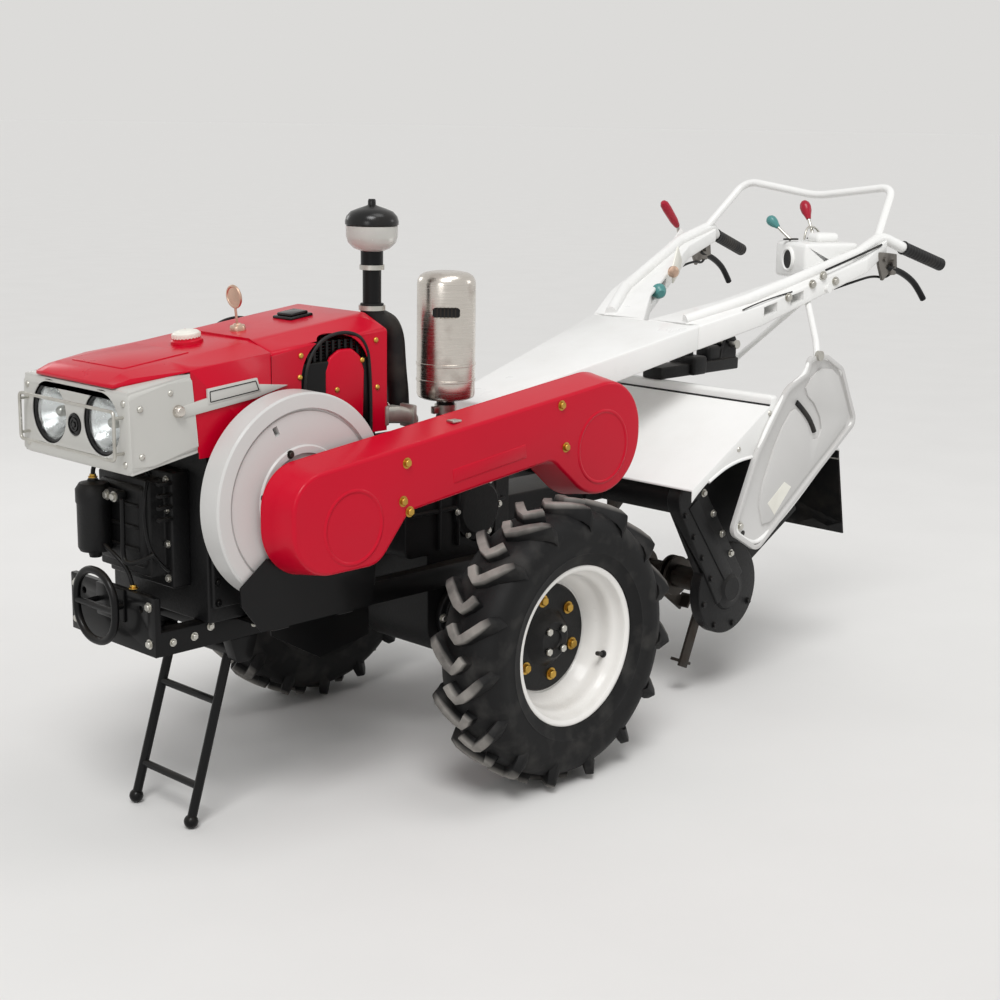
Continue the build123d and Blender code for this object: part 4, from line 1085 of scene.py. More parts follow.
class TRACTOR_OT_flywheel(Piece):
    """Machined flywheel with its ring groove, hub ring, holes and bolts."""

    bl_idname = "tractor.flywheel"
    bl_label = "Flywheel"

    def make(self):
        low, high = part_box("flywheel")
        centre = (low + high) / 2
        centre.y = 0
        radius = (high.z - low.z) / 2
        out, back = high.y, low.y
        rim_back = out - 0.060
        rows = [(0, out - 0.002), (0.030, out - 0.002), (0.034, out - 0.006), (0.092, out - 0.008),
                (0.095, out - 0.002), (0.108, out - 0.002), (0.111, out - 0.006), (0.178, out - 0.005),
                (0.180, out - 0.009), (0.183, out - 0.009), (0.185, out), (radius - 0.004, out),
                (radius, out - 0.004), (radius, rim_back + 0.004), (radius - 0.004, rim_back),
                (0.170, rim_back), (0.165, rim_back + 0.018), (0.070, rim_back + 0.018),
                (0.064, rim_back - 0.008), (0.0218, rim_back - 0.010), (0.0218, back), (0, back)]
        wheel = lathe(rows, centre, ACROSS, 128)
        holes = []
        wide, tall, reach = 0.012, 0.020, 0.160
        for turn in (25, 205):
            slot = block((-wide / 2, -0.01, -tall / 2), (wide / 2, 0.03, tall / 2))
            slot.data.transform(Matrix.Translation(centre + Vector((0, out - 0.02, 0))) @
                                Matrix.Rotation(math.radians(turn), 4, ACROSS) @ Matrix.Translation((0, 0, reach)))
            holes.append(slot)
        wheel = cut(wheel, join(holes))
        finish(smooth(wheel, 30), "flywheel_turned", GREY, ["flywheel"], "flywheel")
        spots = bolt_circle(centre + ACROSS * (out - 0.003), 0.102, 6, 10)
        fixings("flywheel_bolts", spots, ACROSS, 0.0065, OILED_STEEL, "flywheel")
        nut = hex_bolt(0.024)
        nut.data.transform(facing(centre + ACROSS * (out - 0.004), ACROSS))
        finish(nut, "flywheel_nut", WORN_STEEL, body="flywheel")


class TRACTOR_OT_engine(Piece):
    """Covers, ribs, filter bowl, pipes and bolts of the engine, transmission and frame."""

    bl_idname = "tractor.engine"
    bl_label = "Engine details"

    def make(self):
        self.sides()
        self.front()
        self.transmission()

    def sides(self):
        """Crankcase side covers with their bolts and cast ribs."""
        parts, spots = [], []
        for x0, x1, z0, z1 in ((318, 470, 480, 770), (640, 738, 480, 590)):
            parts.append(brick((x0, 160, z0), (x1, 172, z1), 0.005, 3))
            spots += [at(x, 172, z) for x in (x0 + 12, x1 - 12) for z in (z0 + 12, (z0 + z1) / 2, z1 - 12)]
        for x in (655, 680, 705, 730):
            parts.append(brick((x, 160, 610), (x + 8, 171, 790), 0.003, 2))
        both(join(parts), "crankcase_covers", CAST_IRON)
        side_fixings("crankcase_bolts", spots, hex_bolt(0.006), BLACK_ON_CAST)

    def front(self):
        """Rocker cover, injection pipe, filter bowl and the front plate's bolts."""
        cover = [brick((786, -78, 560), (836, 78, 728), 0.014, 4)]
        for z in (600, 644, 688):
            cover.append(brick((830, -66, z - 4), (841, 66, z + 4), 0.003, 2))
        finish(join(cover), "rocker_cover", CAST_IRON)
        fixings("head_bolts", [at(790, y, z) for y in (-97, 97) for z in (540, 610, 680, 740)], ALONG, 0.0062)
        centre = middle("fuel_filter")
        low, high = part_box("fuel_filter")
        x, y = high.x - 0.036, centre.y
        bowl = lathe([(0, low.z), (0.012, low.z), (0.014, low.z + 0.010), (0.030, low.z + 0.014),
                      (0.034, low.z + 0.022), (0.034, high.z - 0.050), (0.036, high.z - 0.046),
                      (0.036, high.z - 0.020), (0.028, high.z - 0.008), (0.012, high.z - 0.004), (0.010, high.z),
                      (0, high.z)], (x, y, 0), UP, 40)
        arm = soften(block((low.x, y - 0.012, high.z - 0.040), (x, y + 0.012, high.z - 0.012)), 0.003)
        finish(smooth(join([bowl, arm])), "fuel_filter_bowl", CAST_IRON, ["fuel_filter"])
        pipes = [
            tube([(862, -50, 735), (862, -50, 760), (850, -20, 775), (815, 10, 770), (790, 40, 745),
                  (790, 60, 700)], 0.0045),
            tube([(862, -20, 600), (862, 10, 590), (850, 45, 560), (850, 62, 520), (840, 66, 470)], 0.0045),
            tube([(830, 90, 740), (850, 104, 700), (850, 110, 640), (835, 112, 590), (800, 112, 560)],
                 0.004)]
        points = [(862, 50, 704), (862, 50, 640), (862, 46, 585), (862, 66, 574), (850, 112, 592), (838, 118, 600)]
        pipes.append(tube(points, 0.005))
        finish(join(pipes), "fuel_pipes", BLACK_ON_CAST)
        unions = [at(862, -50, 733), at(790, 60, 702), at(850, 62, 524)]
        fixings("pipe_unions", unions, UP, 0.007, YELLOW_ZINC)
        plate = brick((838, -34, 694), (860, 30, 714), 0.003, 2)
        finish(plate, "filter_bracket", CAST_IRON)
        fixings("filter_bracket_bolts", [at(860, y, 704) for y in (-4, 20)], ALONG, 0.008)
        ribs = [brick((788, 104, z - 4), (822, 116, z + 4), 0.003, 2) for z in (664, 688, 712, 736)]
        finish(join(ribs), "head_side_ribs", CAST_IRON)
        side_fixings("rail_bolts", [at(729, 148, 440), at(769, 148, 427)], hex_bolt(0.0065))
        fixings("front_plate_bolts", [at(860, y, z) for y in (-128, 128) for z in (425, 500)], ALONG, 0.0075)
        pad = brick((858, -48, 452), (866, 48, 520), 0.003, 2)
        finish(pad, "bumper_pad", BLACK)

    def transmission(self):
        """Ribs, round cover and bolts of the transmission case, and the axle housings' bolts."""
        parts = []
        for x in (-120, -60, 0, 60):
            parts.append(brick((x, 108, 480), (x + 9, 121, 655), 0.003, 2))
        parts.append(brick((-150, 108, 566), (150, 120, 575), 0.003, 2))
        parts.append(smooth(lathe([(0, 0.014), (0.058, 0.014), (0.066, 0.008), (0.074, 0.007), (0.076, -0.004),
                                   (0, -0.004)], at(-60, 112, 560), ACROSS, 48)))
        both(join(parts), "transmission_ribs", CAST_IRON)
        spots = bolt_circle(at(-60, 119, 560), 0.068, 6) + [at(x, 148, 425) for x in (330, 450, 620, 820)]
        side_fixings("transmission_bolts", spots, hex_bolt(0.006))
        side_fixings("axle_housing_bolts", bolt_circle(AXLE + ACROSS * 0.128, 0.061, 6), hex_bolt(0.008))


class TRACTOR_OT_breathing(Piece):
    """Silencer, exhaust clamp, hose and pre-cleaner."""

    bl_idname = "tractor.breathing"
    bl_label = "Intake and exhaust"

    def make(self):
        self.silencer()
        self.cleaner()

    def silencer(self):
        """Rolled can with its seams, outlet slot with a black plate in it as painted shade, and clamp."""
        low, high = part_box("muffler")
        centre = (low + high) / 2
        centre.z = 0
        r, z0, z1 = (high.x - low.x) / 2, low.z, high.z
        rows = [(0, z0), (0.024, z0), (0.026, z0 + 0.004), (r - 0.012, z0 + 0.006), (r - 0.004, z0 + 0.010),
                (r - 0.0015, z0 + 0.016), (r - 0.0015, z0 + 0.045), (r, z0 + 0.046), (r, z0 + 0.050),
                (r - 0.0015, z0 + 0.051), (r - 0.0015, z0 + 0.080), (r, z0 + 0.081), (r, z0 + 0.086),
                (r - 0.0015, z0 + 0.087), (r - 0.0015, z1 - 0.026), (r - 0.003, z1 - 0.018),
                (r - 0.008, z1 - 0.009), (r - 0.018, z1 - 0.003), (r - 0.034, z1), (0, z1)]
        can = smooth(lathe(rows, centre, UP, 96), 30)
        outlook = Vector((0.695, 0.719, 0))
        place = Vector((centre.x, centre.y, z1 - 0.085)) + outlook * r
        side = outlook.cross(UP)
        upright = Matrix.Translation(place) @ Matrix((side, outlook, UP)).transposed().to_4x4()
        turns = [math.radians(n) for n in range(-90, 91, 15)]
        straight, bend = 0.019, 0.0125
        corners = [(end * (straight + bend * math.cos(t)), end * bend * math.sin(t))
                   for end in (1, -1) for t in turns]
        slot = slab([Vector((x, -0.012, z)) for x, z in corners], (0, 0.024, 0))
        slot.data.transform(upright)
        # black plate in the outlet slot: painted shade of the open outlet
        core = soften(block((-0.0296, -0.0135, -0.0105), (0.0296, -0.0100, 0.0105)), 0.0005, 1)
        core.data.transform(upright)
        finish(core, "silencer_core", CAST_IRON)
        can = cut(can, slot)
        finish(smooth(can, 30), "silencer_can", STAINLESS, ["muffler"])
        behind, reach = place - outlook * 0.011, UP * 0.011
        grid = [bar(behind + side * s - reach, behind + side * s + reach, 0.0016, sides=8)
                for s in (-0.020, -0.012, -0.004, 0.004, 0.012, 0.020)]
        finish(join(grid), "silencer_spark_grid", WORN_STEEL)
        clamp = lathe([(0.0205, -0.010), (0.0245, -0.010), (0.0245, 0.010), (0.0205, 0.010)],
                      Vector((centre.x, centre.y, z0 - 0.018)), UP, 40, closed=True)
        lug = soften(block(Vector((centre.x + 0.022, centre.y - 0.006, z0 - 0.026)),
                           Vector((centre.x + 0.040, centre.y + 0.006, z0 - 0.010))), 0.0015)
        finish(smooth(join([clamp, lug])), "exhaust_clamp", ZINC)

    def cleaner(self):
        """Black cap, clear dust bowl, clamps, and the cast elbow below."""
        low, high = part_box("pre_cleaner_cap")
        centre = (low + high) / 2
        centre.z = 0
        r, top = (high.x - low.x) / 2, high.z
        base = low.z
        cap = lathe([(0, top), (0.007, top), (0.0085, top - 0.004), (0.0085, top - 0.012), (0.012, top - 0.014),
                     (0.030, top - 0.020), (r - 0.012, base + 0.030), (r - 0.003, base + 0.020),
                     (r, base + 0.010), (r, base + 0.003), (r - 0.004, base), (0, base)], centre, UP, 64)
        finish(smooth(cap, 40), "pre_cleaner_lid", BLACK_PLASTIC, ["pre_cleaner_cap"])
        low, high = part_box("pre_cleaner_bowl")
        r = (high.x - low.x) / 2
        bowl = lathe([(0, low.z), (0.024, low.z), (r - 0.016, low.z + 0.006), (r - 0.004, low.z + 0.018),
                      (r, low.z + 0.032), (r, high.z), (0, high.z)], centre, UP, 64)
        finish(smooth(bowl, 40), "dust_bowl", CLEAR_PLASTIC, ["pre_cleaner_bowl"])
        clamps = [lathe([(a, -0.005), (a + 0.0025, -0.005), (a + 0.0025, 0.005), (a, 0.005)],
                        at(253, 100, z), UP, 40, closed=True) for a, z in ((0.0242, 1129), (0.0262, 1043))]
        finish(smooth(join(clamps)), "intake_clamps", ZINC)
        route = [(253, 1052), (253, 1034), (250, 1018), (236, 1012), (222, 1011), (204, 1000), (191, 972),
                 (188, 930), (184, 890), (178, 850), (176, 800)]
        hose = wire(outline(100, route), 0.0255)
        finish(hose, "air_hose", RUBBER, ["air_duct"])
        corners = [(282, 838), (240, 838), (212, 830), (190, 818), (182, 806), (184, 790), (214, 796), (276, 803)]
        elbow = slab(outline(140, corners), (0, 0.038, 0))
        round_edges(elbow, 0.010, sharp(50), 4)
        flange = brick((196, 136, 786), (206, 182, 836), 0.003)
        collar = brick((276, 136, 800), (286, 182, 842), 0.003)
        finish(smooth(join([elbow, flange, collar]), 50), "manifold_elbow", CAST_ALUMINIUM)
        fixings("manifold_bolts", [at(276, y, 842) for y in (146, 172)], -ALONG, 0.0055)


class TRACTOR_OT_handles(Piece):
    """Grips, clutch levers, lever console with its levers, and fittings on the arms."""

    bl_idname = "tractor.handles"
    bl_label = "Handles"

    def make(self):
        self.grips()
        self.clutch_levers()
        self.console()
        self.far_fittings()

    def grips(self):
        """Ribbed rubber grips."""
        start, end = at(-1505, 321.6, 1112.4), at(-1675, 346, 1058.5)
        run = (end - start).length
        rows = [(0.0155, 0), (0.0185, 0), (0.0195, 0.003), (0.0185, 0.007)]
        for n in range(12):
            place = 0.016 + n * (run - 0.030) / 12
            rows += [(0.0172, place), (0.0180, place + 0.003), (0.0180, place + 0.007), (0.0172, place + 0.009)]
        rows += [(0.0182, run - 0.010), (0.0178, run - 0.003), (0.013, run), (0, run)]
        grip = turned(rows)
        grip.data.transform(facing(start, end - start))
        both(smooth(grip), "grip_sleeve", RUBBER, "grip")

    def clutch_levers(self):
        """Curved levers on their cast pivots."""
        route = [(-1428, 322, 1066), (-1440, 323, 1057), (-1482, 325, 1051), (-1530, 330, 1031),
                 (-1572, 334, 1004), (-1604, 338, 966)]
        lever = tube(route, 0.009)
        both(lever, "clutch_lever_arm", BLACK, "clutch_lever")
        corners = [(-1372, 1106), (-1440, 1100), (-1474, 1096), (-1480, 1054), (-1440, 1046), (-1411, 1026),
                   (-1392, 1061)]
        plate = soften(slab(outline(315, corners), (0, 0.010, 0)), 0.002, 2)
        parts = [plate, bar(at(-1448, 306, 1074), at(-1448, 334, 1074), 0.0085),
                 bar(at(-1412, 306, 1084), at(-1412, 330, 1084), 0.006),
                 brick((-1466, 316, 1040), (-1440, 332, 1062), 0.004)]
        both(smooth(join(parts)), "clutch_pivot", CAST_ZINC)
        cable = tube([(-1456, 321, 1046), (-1440, 316, 1030), (-1390, 306, 1040), (-1320, 300, 1030),
                      (-1240, 282, 1012)], 0.0035)
        both(cable, "clutch_rod", BLACK)

    def console(self):
        """Folded lever box with its slotted top, round boot and the two levers."""
        slope = slab([at(-1335, 60, 1160), at(-1440, 60, 1160), at(-1440, 60, 1070)], (0, 0.19, 0))
        box = round_edges(cut(remodelled("gear_console"), slope), 0.010, sharp(40), 3)
        finish(smooth(box, 40), "lever_box", WHITE, ["gear_console"])
        ring = turned([(0.020, 0), (0.020, 0.004), (0.0225, 0.007), (0.026, 0.005), (0.027, -0.003), (0, -0.003),
                       (0, 0)])
        dial = turned([(0, 0.0035), (0.021, 0.0035), (0.021, -0.002), (0, -0.002)])
        oval = Matrix.Diagonal((1.0, 1.25, 1, 1))
        seat = facing(at(-1222, 143, 1082), Vector((0.921, -0.389, 0)))
        for piece, name, surface in ((ring, "lever_box_rim", WHITE), (dial, "lever_box_dial", RUBBER)):
            piece.data.transform(seat @ oval)
            finish(smooth(piece), name, surface)
        along_box = Matrix.Rotation(math.radians(-22.9), 4, UP)
        hump = soften(block((-0.036, -0.030, -0.010), (0.036, 0.030, 0.019)), 0.013, 4)
        hump.data.transform(Matrix.Translation(at(-1318, 186, 1134)) @ along_box)
        finish(hump, "lever_box_hump", WHITE)
        arch = tube([(-1296, 140, 1132), (-1302, 138, 1156), (-1330, 134, 1168), (-1362, 138, 1158),
                     (-1374, 146, 1132)], 0.003)
        finish(arch, "lever_box_arch", ZINC)
        gate = []
        for x, y in ((-1245, 131), (-1339, 143)):
            slot = soften(block((-0.022, -0.006, -0.002), (0.022, 0.006, 0.0025)), 0.002)
            slot.data.transform(Matrix.Translation(at(x, y, 1134)) @ along_box)
            gate.append(slot)
        finish(join(gate), "lever_gates", RUBBER)
        stems = [bar(at(-1245, 131, 1132), at(-1238, 92, 1165), 0.0050, 0.0040),
                 bar(at(-1339, 143, 1132), at(-1354, 110, 1188), 0.0050, 0.0040)]
        finish(smooth(join(stems)), "lever_stems", ZINC, ["left_levers"])
        pear = [(0, 0.040), (0.007, 0.0385), (0.0125, 0.033), (0.0145, 0.025), (0.0130, 0.014), (0.0085, 0.004),
                (0.006, -0.004), (0, -0.004)]
        for place, lean, name, surface, wide, tall in (
                ((-1238, 90, 1167), (10, -56, 45), "gear_knob", TEAL_KNOB, 1, 0.95),
                ((-1354, 110, 1189), (-21, -46, 77), "clutch_knob", RED_KNOB, 1.08, 1.3)):
            knob = turned([(radius * wide, height * tall) for radius, height in pear])
            knob.data.transform(facing(at(*place), lean))
            finish(smooth(knob), name, surface)
        clamp = [brick((-1186, 240, 1000), (-1146, 290, 1026), 0.006, 3),
                 bar(at(-1170, 236, 1012), at(-1170, 314, 1018), 0.011)]
        finish(smooth(join(clamp)), "rod_clamp", WHITE)
        self.arm_marks()

    def arm_marks(self):
        """Dark lines painting the shade in the arms' gaps, and nuts on the arms' outer faces."""
        # thin black tubes as painted shade along the gaps between the arms' parts
        seams = [tube([(-901, 231, 972), (-952, 255.5, 996), (-1050, 278, 1014)], 0.0018, sides=2),
                 tube([(-1163, 303, 1066), (-1308, 335.5, 1110), (-1400, 320, 1124)], 0.0032, sides=2)]
        finish(join(seams), "left_arm_joint_lines", RUBBER)
        nuts = [at(-1153, 302, 1052), at(-1117, 294, 1031), at(-1197, 311.5, 1036), at(-1037, 275.5, 1000)]
        finish(row_of(hex_bolt(0.009), nuts, Vector((0.22, 1, 0))), "left_arm_nuts", ZINC)

    def far_fittings(self):
        """Tiller lever with its long red handle, slotted plate and boot on the right arm."""
        stem = tube([(-1350, -348, 1060), (-1364, -350, 1084), (-1368, -350, 1112), (-1358, -350, 1140)],
                    0.0048)
        finish(stem, "tiller_lever_stem", ZINC, ["right_lever"])
        grip = turned([(0, 0.104), (0.008, 0.102), (0.0125, 0.094), (0.0135, 0.074), (0.012, 0.026),
                       (0.0085, 0.004), (0.006, 0), (0, 0)])
        grip.data.transform(facing(at(-1357, -350, 1140), Vector((78, 0, 79))))
        finish(smooth(grip), "tiller_lever_grip", RED_KNOB)
        corners = [at(-1322, -344, 1096), at(-1392, -338, 1096), at(-1357, -341, 1136)]
        horn = soften(slab(corners, (0, 0.006, 0)), 0.002)
        side = brick((-1396, -342, 1058), (-1306, -330, 1098), 0.003, 2)
        finish(join([horn, side]), "tiller_lever_bracket", WHITE)
        corners = [(-1086, 1048), (-1128, 1102), (-1166, 1060), (-1148, 1026), (-1094, 1001)]
        plate = slab(outline(-166, corners), (0, 0.005, 0))
        plate.data.transform(turn_about(at(-1120, -166, 1040), UP, 20))
        finish(soften(plate, 0.0015, 2), "cable_plate", WHITE_PLASTIC)
        plug = turned([(0, 0.008), (0.009, 0.008), (0.016, 0.004), (0.016, -0.004), (0, -0.004)], 24)
        plug.data.transform(facing(at(-1092, -150, 1034), Vector((0.34, 0.94, 0))))
        finish(smooth(plug), "bracket_plug", COPPER)
        boot = turned([(0, 0.020), (0.010, 0.020), (0.015, 0.014), (0.012, 0.010), (0.019, 0.004),
                       (0.022, -0.006), (0, -0.006)], 24)
        boot.data.transform(facing(at(-1010, -132, 985), Vector((0.5, 0.8, -0.2))))
        finish(smooth(boot), "cable_boot", TEAL_KNOB)


class TRACTOR_OT_tiller(Piece):
    """Shroud edges, side plate pressings, chain-case bolts, rotor holders, flap and clevis parts."""

    bl_idname = "tractor.tiller"
    bl_label = "Tiller"

    def make(self):
        self.shroud()
        self.side_plate()
        self.chain_case()
        self.flap()
        self.drawbar()

    def shroud(self):
        """Dark round bar at the bend as painted shadow, beaded arc edges and screws."""
        gap = bar(at(-824.5, -384, 751), at(-824.5, 384, 751), 0.0032, sides=8)
        finish(gap, "shroud_bar_shadow_gap", RUBBER)
        radius, y = 0.345, 384.5
        arc = []
        for turn in range(22, 122, 8):
            reach = Vector((math.cos(math.radians(turn)), 0, math.sin(math.radians(turn)))) * radius
            arc.append(Vector((ROTOR.x, y / 1000, middle("rotor").z)) + reach)
        arc = [p for p in arc if at(-1000, 0, 0).x < p.x < at(-545, 0, 0).x]
        both(wire(arc, 0.0045), "shroud_beading", WHITE)
        spots = [at(-823, 385, 732), at(-700, 385, 655)]
        centre = Vector((ROTOR.x, 0.325, middle("rotor").z))
        turns = [math.radians(n) for n in range(52, 153, 4)]
        guard = slab([centre] + [centre + Vector((math.cos(t), 0, math.sin(t))) * 0.338 for t in turns],
                     (0, 0.005, 0))
        both(guard, "chain_guard", BLACK)
        side_fixings("shroud_screws", spots, pan_screw(0.007))

    def side_plate(self):
        """Raised inner panel, long slot and bolts."""
        y = 389
        inner = [(-785, 505), (-800, 560), (-838, 640), (-870, 690), (-905, 727), (-925, 733), (-950, 716),
                 (-978, 688), (-992, 662), (-1010, 643), (-1034, 645), (-1047, 668), (-1036, 702), (-1008, 738),
                 (-975, 762), (-966, 782), (-990, 808), (-1030, 827), (-1080, 822), (-1112, 800), (-1150, 735),
                 (-1170, 695), (-1160, 668), (-1100, 625), (-1000, 560), (-890, 486), (-835, 452), (-802, 452)]
        panel = slab(outline(y, inner), (0, 0.005, 0))
        round_edges(panel, 0.0018, lambda a, b, t: t > 60 and min(a.y, b.y) > (y + 4.5) / 1000, 2)
        both(smooth(panel, 40), "side_plate_panel", GREY)
        # black tube along the long slot: painted shade inside the slot
        slot = [at(-930, y + 1, 749), at(-969, y + 1, 721), at(-1003, y + 1, 687), at(-1016, y + 1, 664)]
        both(wire(slot, 0.007), "side_plate_slot", RUBBER)
        edge = [(-969, 845), (-1002, 856), (-1047, 855), (-1095, 838), (-1122, 814), (-1148, 778), (-1193, 700),
                (-1196, 674), (-1178, 655), (-1145, 630), (-1038, 558), (-946, 492), (-869, 445), (-820, 421),
                (-785, 408), (-752, 414), (-708, 438), (-689, 456), (-694, 480), (-724, 538), (-758, 622),
                (-795, 685), (-833, 733), (-872, 775), (-912, 800), (-943, 812), (-960, 825)]
        bead = wire(outline(392, edge), 0.0055, closed=True)
        both(bead, "side_plate_bead", WHITE)
        label = [(-820, 503), (-889, 549), (-920, 532), (-852, 468)]
        both(soften(slab(outline(y + 4, label), (0, 0.0016, 0)), 0.0004, 1), "blank_side_label", WHITE_PLASTIC)
        # black disc in the hole: painted shade inside the hole
        hole = bar(at(-726, y - 1, 440), at(-726, y + 1.5, 440), 0.007)
        both(hole, "side_plate_hole", RUBBER)
        side_fixings("side_plate_bolts", [at(-706, 393, 462)], hex_bolt(0.0085))
        eye = bar(at(-1010, 393, 862), at(-1010, 405, 862), 0.013)
        both(smooth(eye), "side_plate_eye", ZINC)

    def chain_case(self):
        """Bolts along the case's flange, bearing cap and the rotor's flanges."""
        top, low = Vector((-575, 0, 540)), Vector((-745, 0, 285))
        along = (low - top).normalized()
        aside = Vector((-along.z, 0, along.x))
        rows = {-1: [], 1: []}
        for share in (0.05, 0.28, 0.51, 0.74):
            p = top + (low - top) * share
            for side in rows:
                q = p + aside * side * (42 + 8 * share)
                rows[side].append(at(q.x, 344, q.z))
        rows[1] += [at(low.x + 102 * math.cos(t), 336, low.z + 102 * math.sin(t))
                    for t in (math.radians(n) for n in (-150, -105, -60, -15, 30))]
        side_fixings("chain_case_rear_bolts", rows[-1], hex_bolt(0.0075))
        side_fixings("chain_case_bolts", rows[1], hex_bolt(0.0075), CAST_IRON)
        cap = lathe([(0, 0.014), (0.030, 0.014), (0.038, 0.008), (0.052, 0.007), (0.056, 0.002), (0.058, -0.004),
                     (0, -0.004)], at(-745, 337, 285), ACROSS, 48)
        rib = slab(outline(344, [(-560, 520), (-592, 540), (-748, 330), (-716, 312)]), (0, 0.004, 0))
        both(smooth(join([cap, soften(rib, 0.002, 2)])), "bearing_cap", CAST_IRON)
        centre = middle("rotor")
        reach, rows = 268, 6  # half the distance between the outermost flanges, and their number
        rings = []
        for row in range(rows):
            y = -reach + row * 2 * reach / (rows - 1)
            flange = [(0.029, -0.014), (0.050, -0.014), (0.052, -0.012), (0.052, -0.0045), (0.029, -0.0045)]
            rings.append(lathe(flange, Vector((centre.x, y / 1000, centre.z)), ACROSS, 32, closed=True))
            rings.append(twin(rings[-1], Matrix.Translation((0, 0.0185, 0))))
        finish(smooth(join(rings)), "blade_flanges", WORN_STEEL, body="rotor")

    def flap(self):
        """Worn rubber flap with a torn lower edge."""
        low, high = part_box("rear_flap")
        thick = 0.006
        half = high.y
        teeth = [0.030, 0.012, 0.026, 0.004, 0.022, 0.010, 0.034, 0.016, 0.006, 0.024, 0.012, 0.030, 0.008, 0.020,
                 0.002, 0.026, 0.014]
        step = 2 * half / (len(teeth) - 1)
        lean = (low.x + thick - high.x) / (low.z - high.z)

        def on_sheet(y, z):
            return Vector((high.x + (z - high.z) * lean, y, z))
        points = [on_sheet(-half, high.z), on_sheet(half, high.z)]
        points += [on_sheet(half - n * step, low.z + t) for n, t in enumerate(teeth)]
        sheet = slab(points, (-thick, 0, 0))
        finish(soften(sheet, 0.0012, 1, 50), "torn_flap", RUBBER, ["rear_flap"])
        strip = block((high.x - 0.010, -half, high.z - 0.030), (high.x - 0.005, half, high.z - 0.002))
        soften(strip, 0.001)
        finish(strip, "flap_strip", ZINC)
        spots = [Vector((high.x - 0.009, y, high.z - 0.016)) for y in (-0.34, -0.2, -0.07, 0.07, 0.2, 0.34)]
        fixings("flap_bolts", spots, -ALONG, 0.007)

    def drawbar(self):
        """Pin, screw handle and lugs of the cast drawbar."""
        pin = [bar(at(-1140, -44, 846), at(-1140, 44, 846), 0.0076),
               bar(at(-1140, 40, 846), at(-1140, 46, 846), 0.012)]
        finish(smooth(join(pin)), "clevis_pin", ZINC)
        parts = [brick((-1010, -44, 776), (-950, 44, 826), 0.008, 3),
                 brick((-1096, -24, 800), (-1040, 24, 846), 0.010, 3),
                 bar(at(-980, 0, 800), at(-980, 0, 858), 0.016, 0.012)]
        finish(smooth(join(parts)), "drawbar_lugs", CAST_IRON)
        hanger = [(-1008, 392, 858), (-1020, 382, 884), (-1042, 362, 905), (-1151, 250, 1008)]
        link = [(-1166, 0, 792), (-1186, 4, 794), (-1198, 14, 812), (-1206, 268, 1026)]
        for name, route, radius in (("hanger_rod", hanger, 0.0088), ("link_rod", link, 0.0082)):
            finish(tube(route, radius), name + "_bar", WHITE, [name])


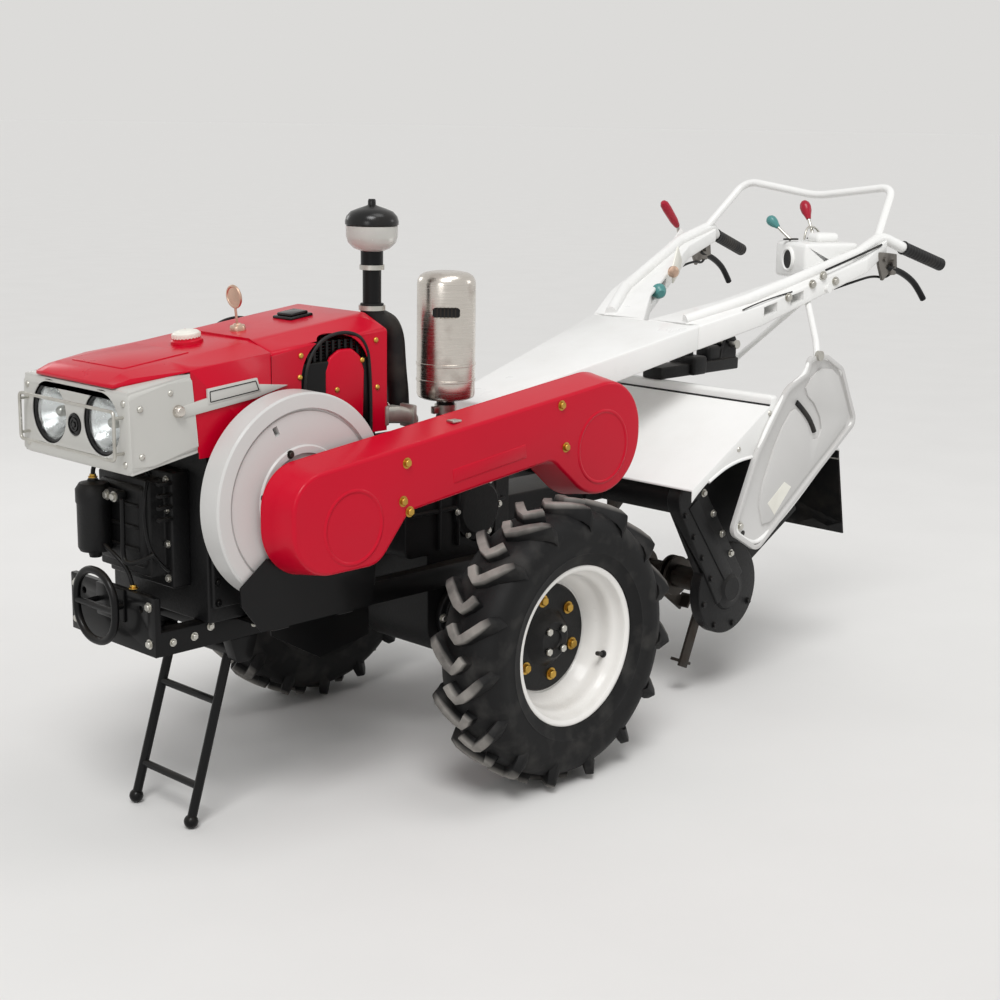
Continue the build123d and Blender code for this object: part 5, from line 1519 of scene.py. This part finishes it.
class TRACTOR_OT_stage(Piece):
    """Floor, soft studio light and camera."""

    bl_idname = "tractor.stage"
    bl_label = "Studio"

    def make(self):
        bpy.context.scene.view_settings.view_transform = "Standard"
        self.camera()
        self.floor()
        self.world()
        self.lamps()

    def camera(self):
        """Three-quarter view from the front left, slightly from above."""
        deselect()
        bpy.ops.object.camera_add()
        camera = bpy.context.object
        camera.name = "main_camera"
        heading, drop, roll = -2.37486, 0.21468, 0.0150
        ahead, left, height = 2.7332, 2.8782, 1.4351
        look = Vector((math.cos(heading) * math.cos(drop), math.sin(heading) * math.cos(drop), -math.sin(drop)))
        camera.location = (AXLE.x + ahead, left, height)
        camera.rotation_mode = "QUATERNION"
        camera.rotation_quaternion = look.to_track_quat("-Z", "Y") @ Quaternion((0, 0, 1), roll)
        camera.data.sensor_width = 36
        camera.data.lens = 62.45
        camera.data.clip_end = 1000
        bpy.context.scene.camera = camera

    def floor(self):
        """Pale matt floor that reaches the horizon."""
        tree, shader, where = new_material("pale_studio_floor")
        tone = blend(tree, noise(tree, where, 3, 3), rgba(linear("#E4E3E1")), rgba(linear("#E9E8E6")))
        shade(shader, {"Roughness": 0.9, "Specular IOR Level": 0.1}, {"Base Color": tone})
        deselect()
        bpy.ops.mesh.primitive_grid_add(x_subdivisions=4, y_subdivisions=4, size=900, location=(0, 0, -0.0005))
        floor = settle()
        floor.name = "studio_floor"
        floor.data.materials.append(bpy.data.materials["pale_studio_floor"])

    def world(self):
        """Even white light; cameras, mirrors and glass see a pale grey surround."""
        world = bpy.data.worlds.new("studio_surround")
        bpy.context.scene.world = world
        world.use_nodes = True
        tree = world.node_tree
        tree.nodes.clear()
        path = add(tree, "LightPath").outputs
        seen = combined(tree, "MAXIMUM", path["Is Camera Ray"], path["Is Glossy Ray"])
        seen = combined(tree, "MAXIMUM", seen, path["Is Transmission Ray"])
        lit = add(tree, "Background", {"Color": rgba(linear("#FFFFFF")), "Strength": 0.50})
        seen_as = add(tree, "Background", {"Color": rgba(linear("#DCDBD9")), "Strength": 1.0})
        mixed = add(tree, "MixShader", None, {0: seen, 1: lit.outputs[0], 2: seen_as.outputs[0]})
        add(tree, "OutputWorld", None, {"Surface": mixed.outputs[0]})

    def lamps(self):
        """Broad main light from the front left above, and small soft boxes that draw highlights."""
        deselect()
        bpy.ops.object.light_add(type="SUN", location=(3, 2.6, 4.5))
        key = bpy.context.object
        key.name = "broad_key_light"
        key.data.energy = 1.55
        key.data.angle = math.radians(24)
        key.rotation_euler = Vector((-0.52, -0.50, -1)).to_track_quat("-Z", "Y").to_euler()
        for name, place, width, power in (
                ("overhead_softbox", (0.2, 0.9, 3.6), 1.2, 12), ("front_softbox", (3.6, 1.6, 1.9), 1.0, 9),
                ("rear_softbox", (-3.4, 2.4, 2.4), 1.0, 8), ("far_softbox", (0.5, -3.6, 2.2), 1.0, 8)):
            deselect()
            bpy.ops.object.light_add(type="AREA", location=place)
            lamp = bpy.context.object
            lamp.name = name
            lamp.data.shape = "SQUARE"
            lamp.data.size = width
            lamp.data.energy = power
            lamp.rotation_euler = (Vector((0, 0, 0.6)) - Vector(place)).to_track_quat("-Z", "Y").to_euler()


class TRACTOR_PT_panel(bpy.types.Panel):
    """Sidebar panel with the tractor's operators and settings."""

    bl_idname = "TRACTOR_PT_panel"
    bl_label = "Walking tractor"
    bl_space_type = "VIEW_3D"
    bl_region_type = "UI"
    bl_category = "Tractor"

    def draw(self, context):
        for operator in OPERATORS:
            self.layout.operator(operator.bl_idname)
        for group in (context.scene.tractor_sizes, context.scene.tractor_colours):
            for name in group.bl_rna.properties.keys():
                if name not in ("rna_type", "name"):
                    self.layout.prop(group, name)


OPERATORS = (
    TRACTOR_OT_stage, TRACTOR_OT_finishes, TRACTOR_OT_formed, TRACTOR_OT_tyres, TRACTOR_OT_wheel_centres,
    TRACTOR_OT_hood, TRACTOR_OT_lamps, TRACTOR_OT_belt_cover, TRACTOR_OT_flywheel, TRACTOR_OT_engine,
    TRACTOR_OT_breathing, TRACTOR_OT_handles, TRACTOR_OT_tiller,
)
CLASSES = (TractorSizes, TractorColours, *OPERATORS, TRACTOR_PT_panel)


def register():
    for item in CLASSES:
        bpy.utils.register_class(item)
    bpy.types.Scene.tractor_sizes = bpy.props.PointerProperty(type=TractorSizes)
    bpy.types.Scene.tractor_colours = bpy.props.PointerProperty(type=TractorColours)


def unregister():
    del bpy.types.Scene.tractor_colours
    del bpy.types.Scene.tractor_sizes
    for item in reversed(CLASSES):
        bpy.utils.unregister_class(item)


def main():
    """Make every piece in order."""
    register()
    for operator in OPERATORS:
        group, name = operator.bl_idname.split(".")
        getattr(getattr(bpy.ops, group), name)()


if __name__ == "__main__":
    main()
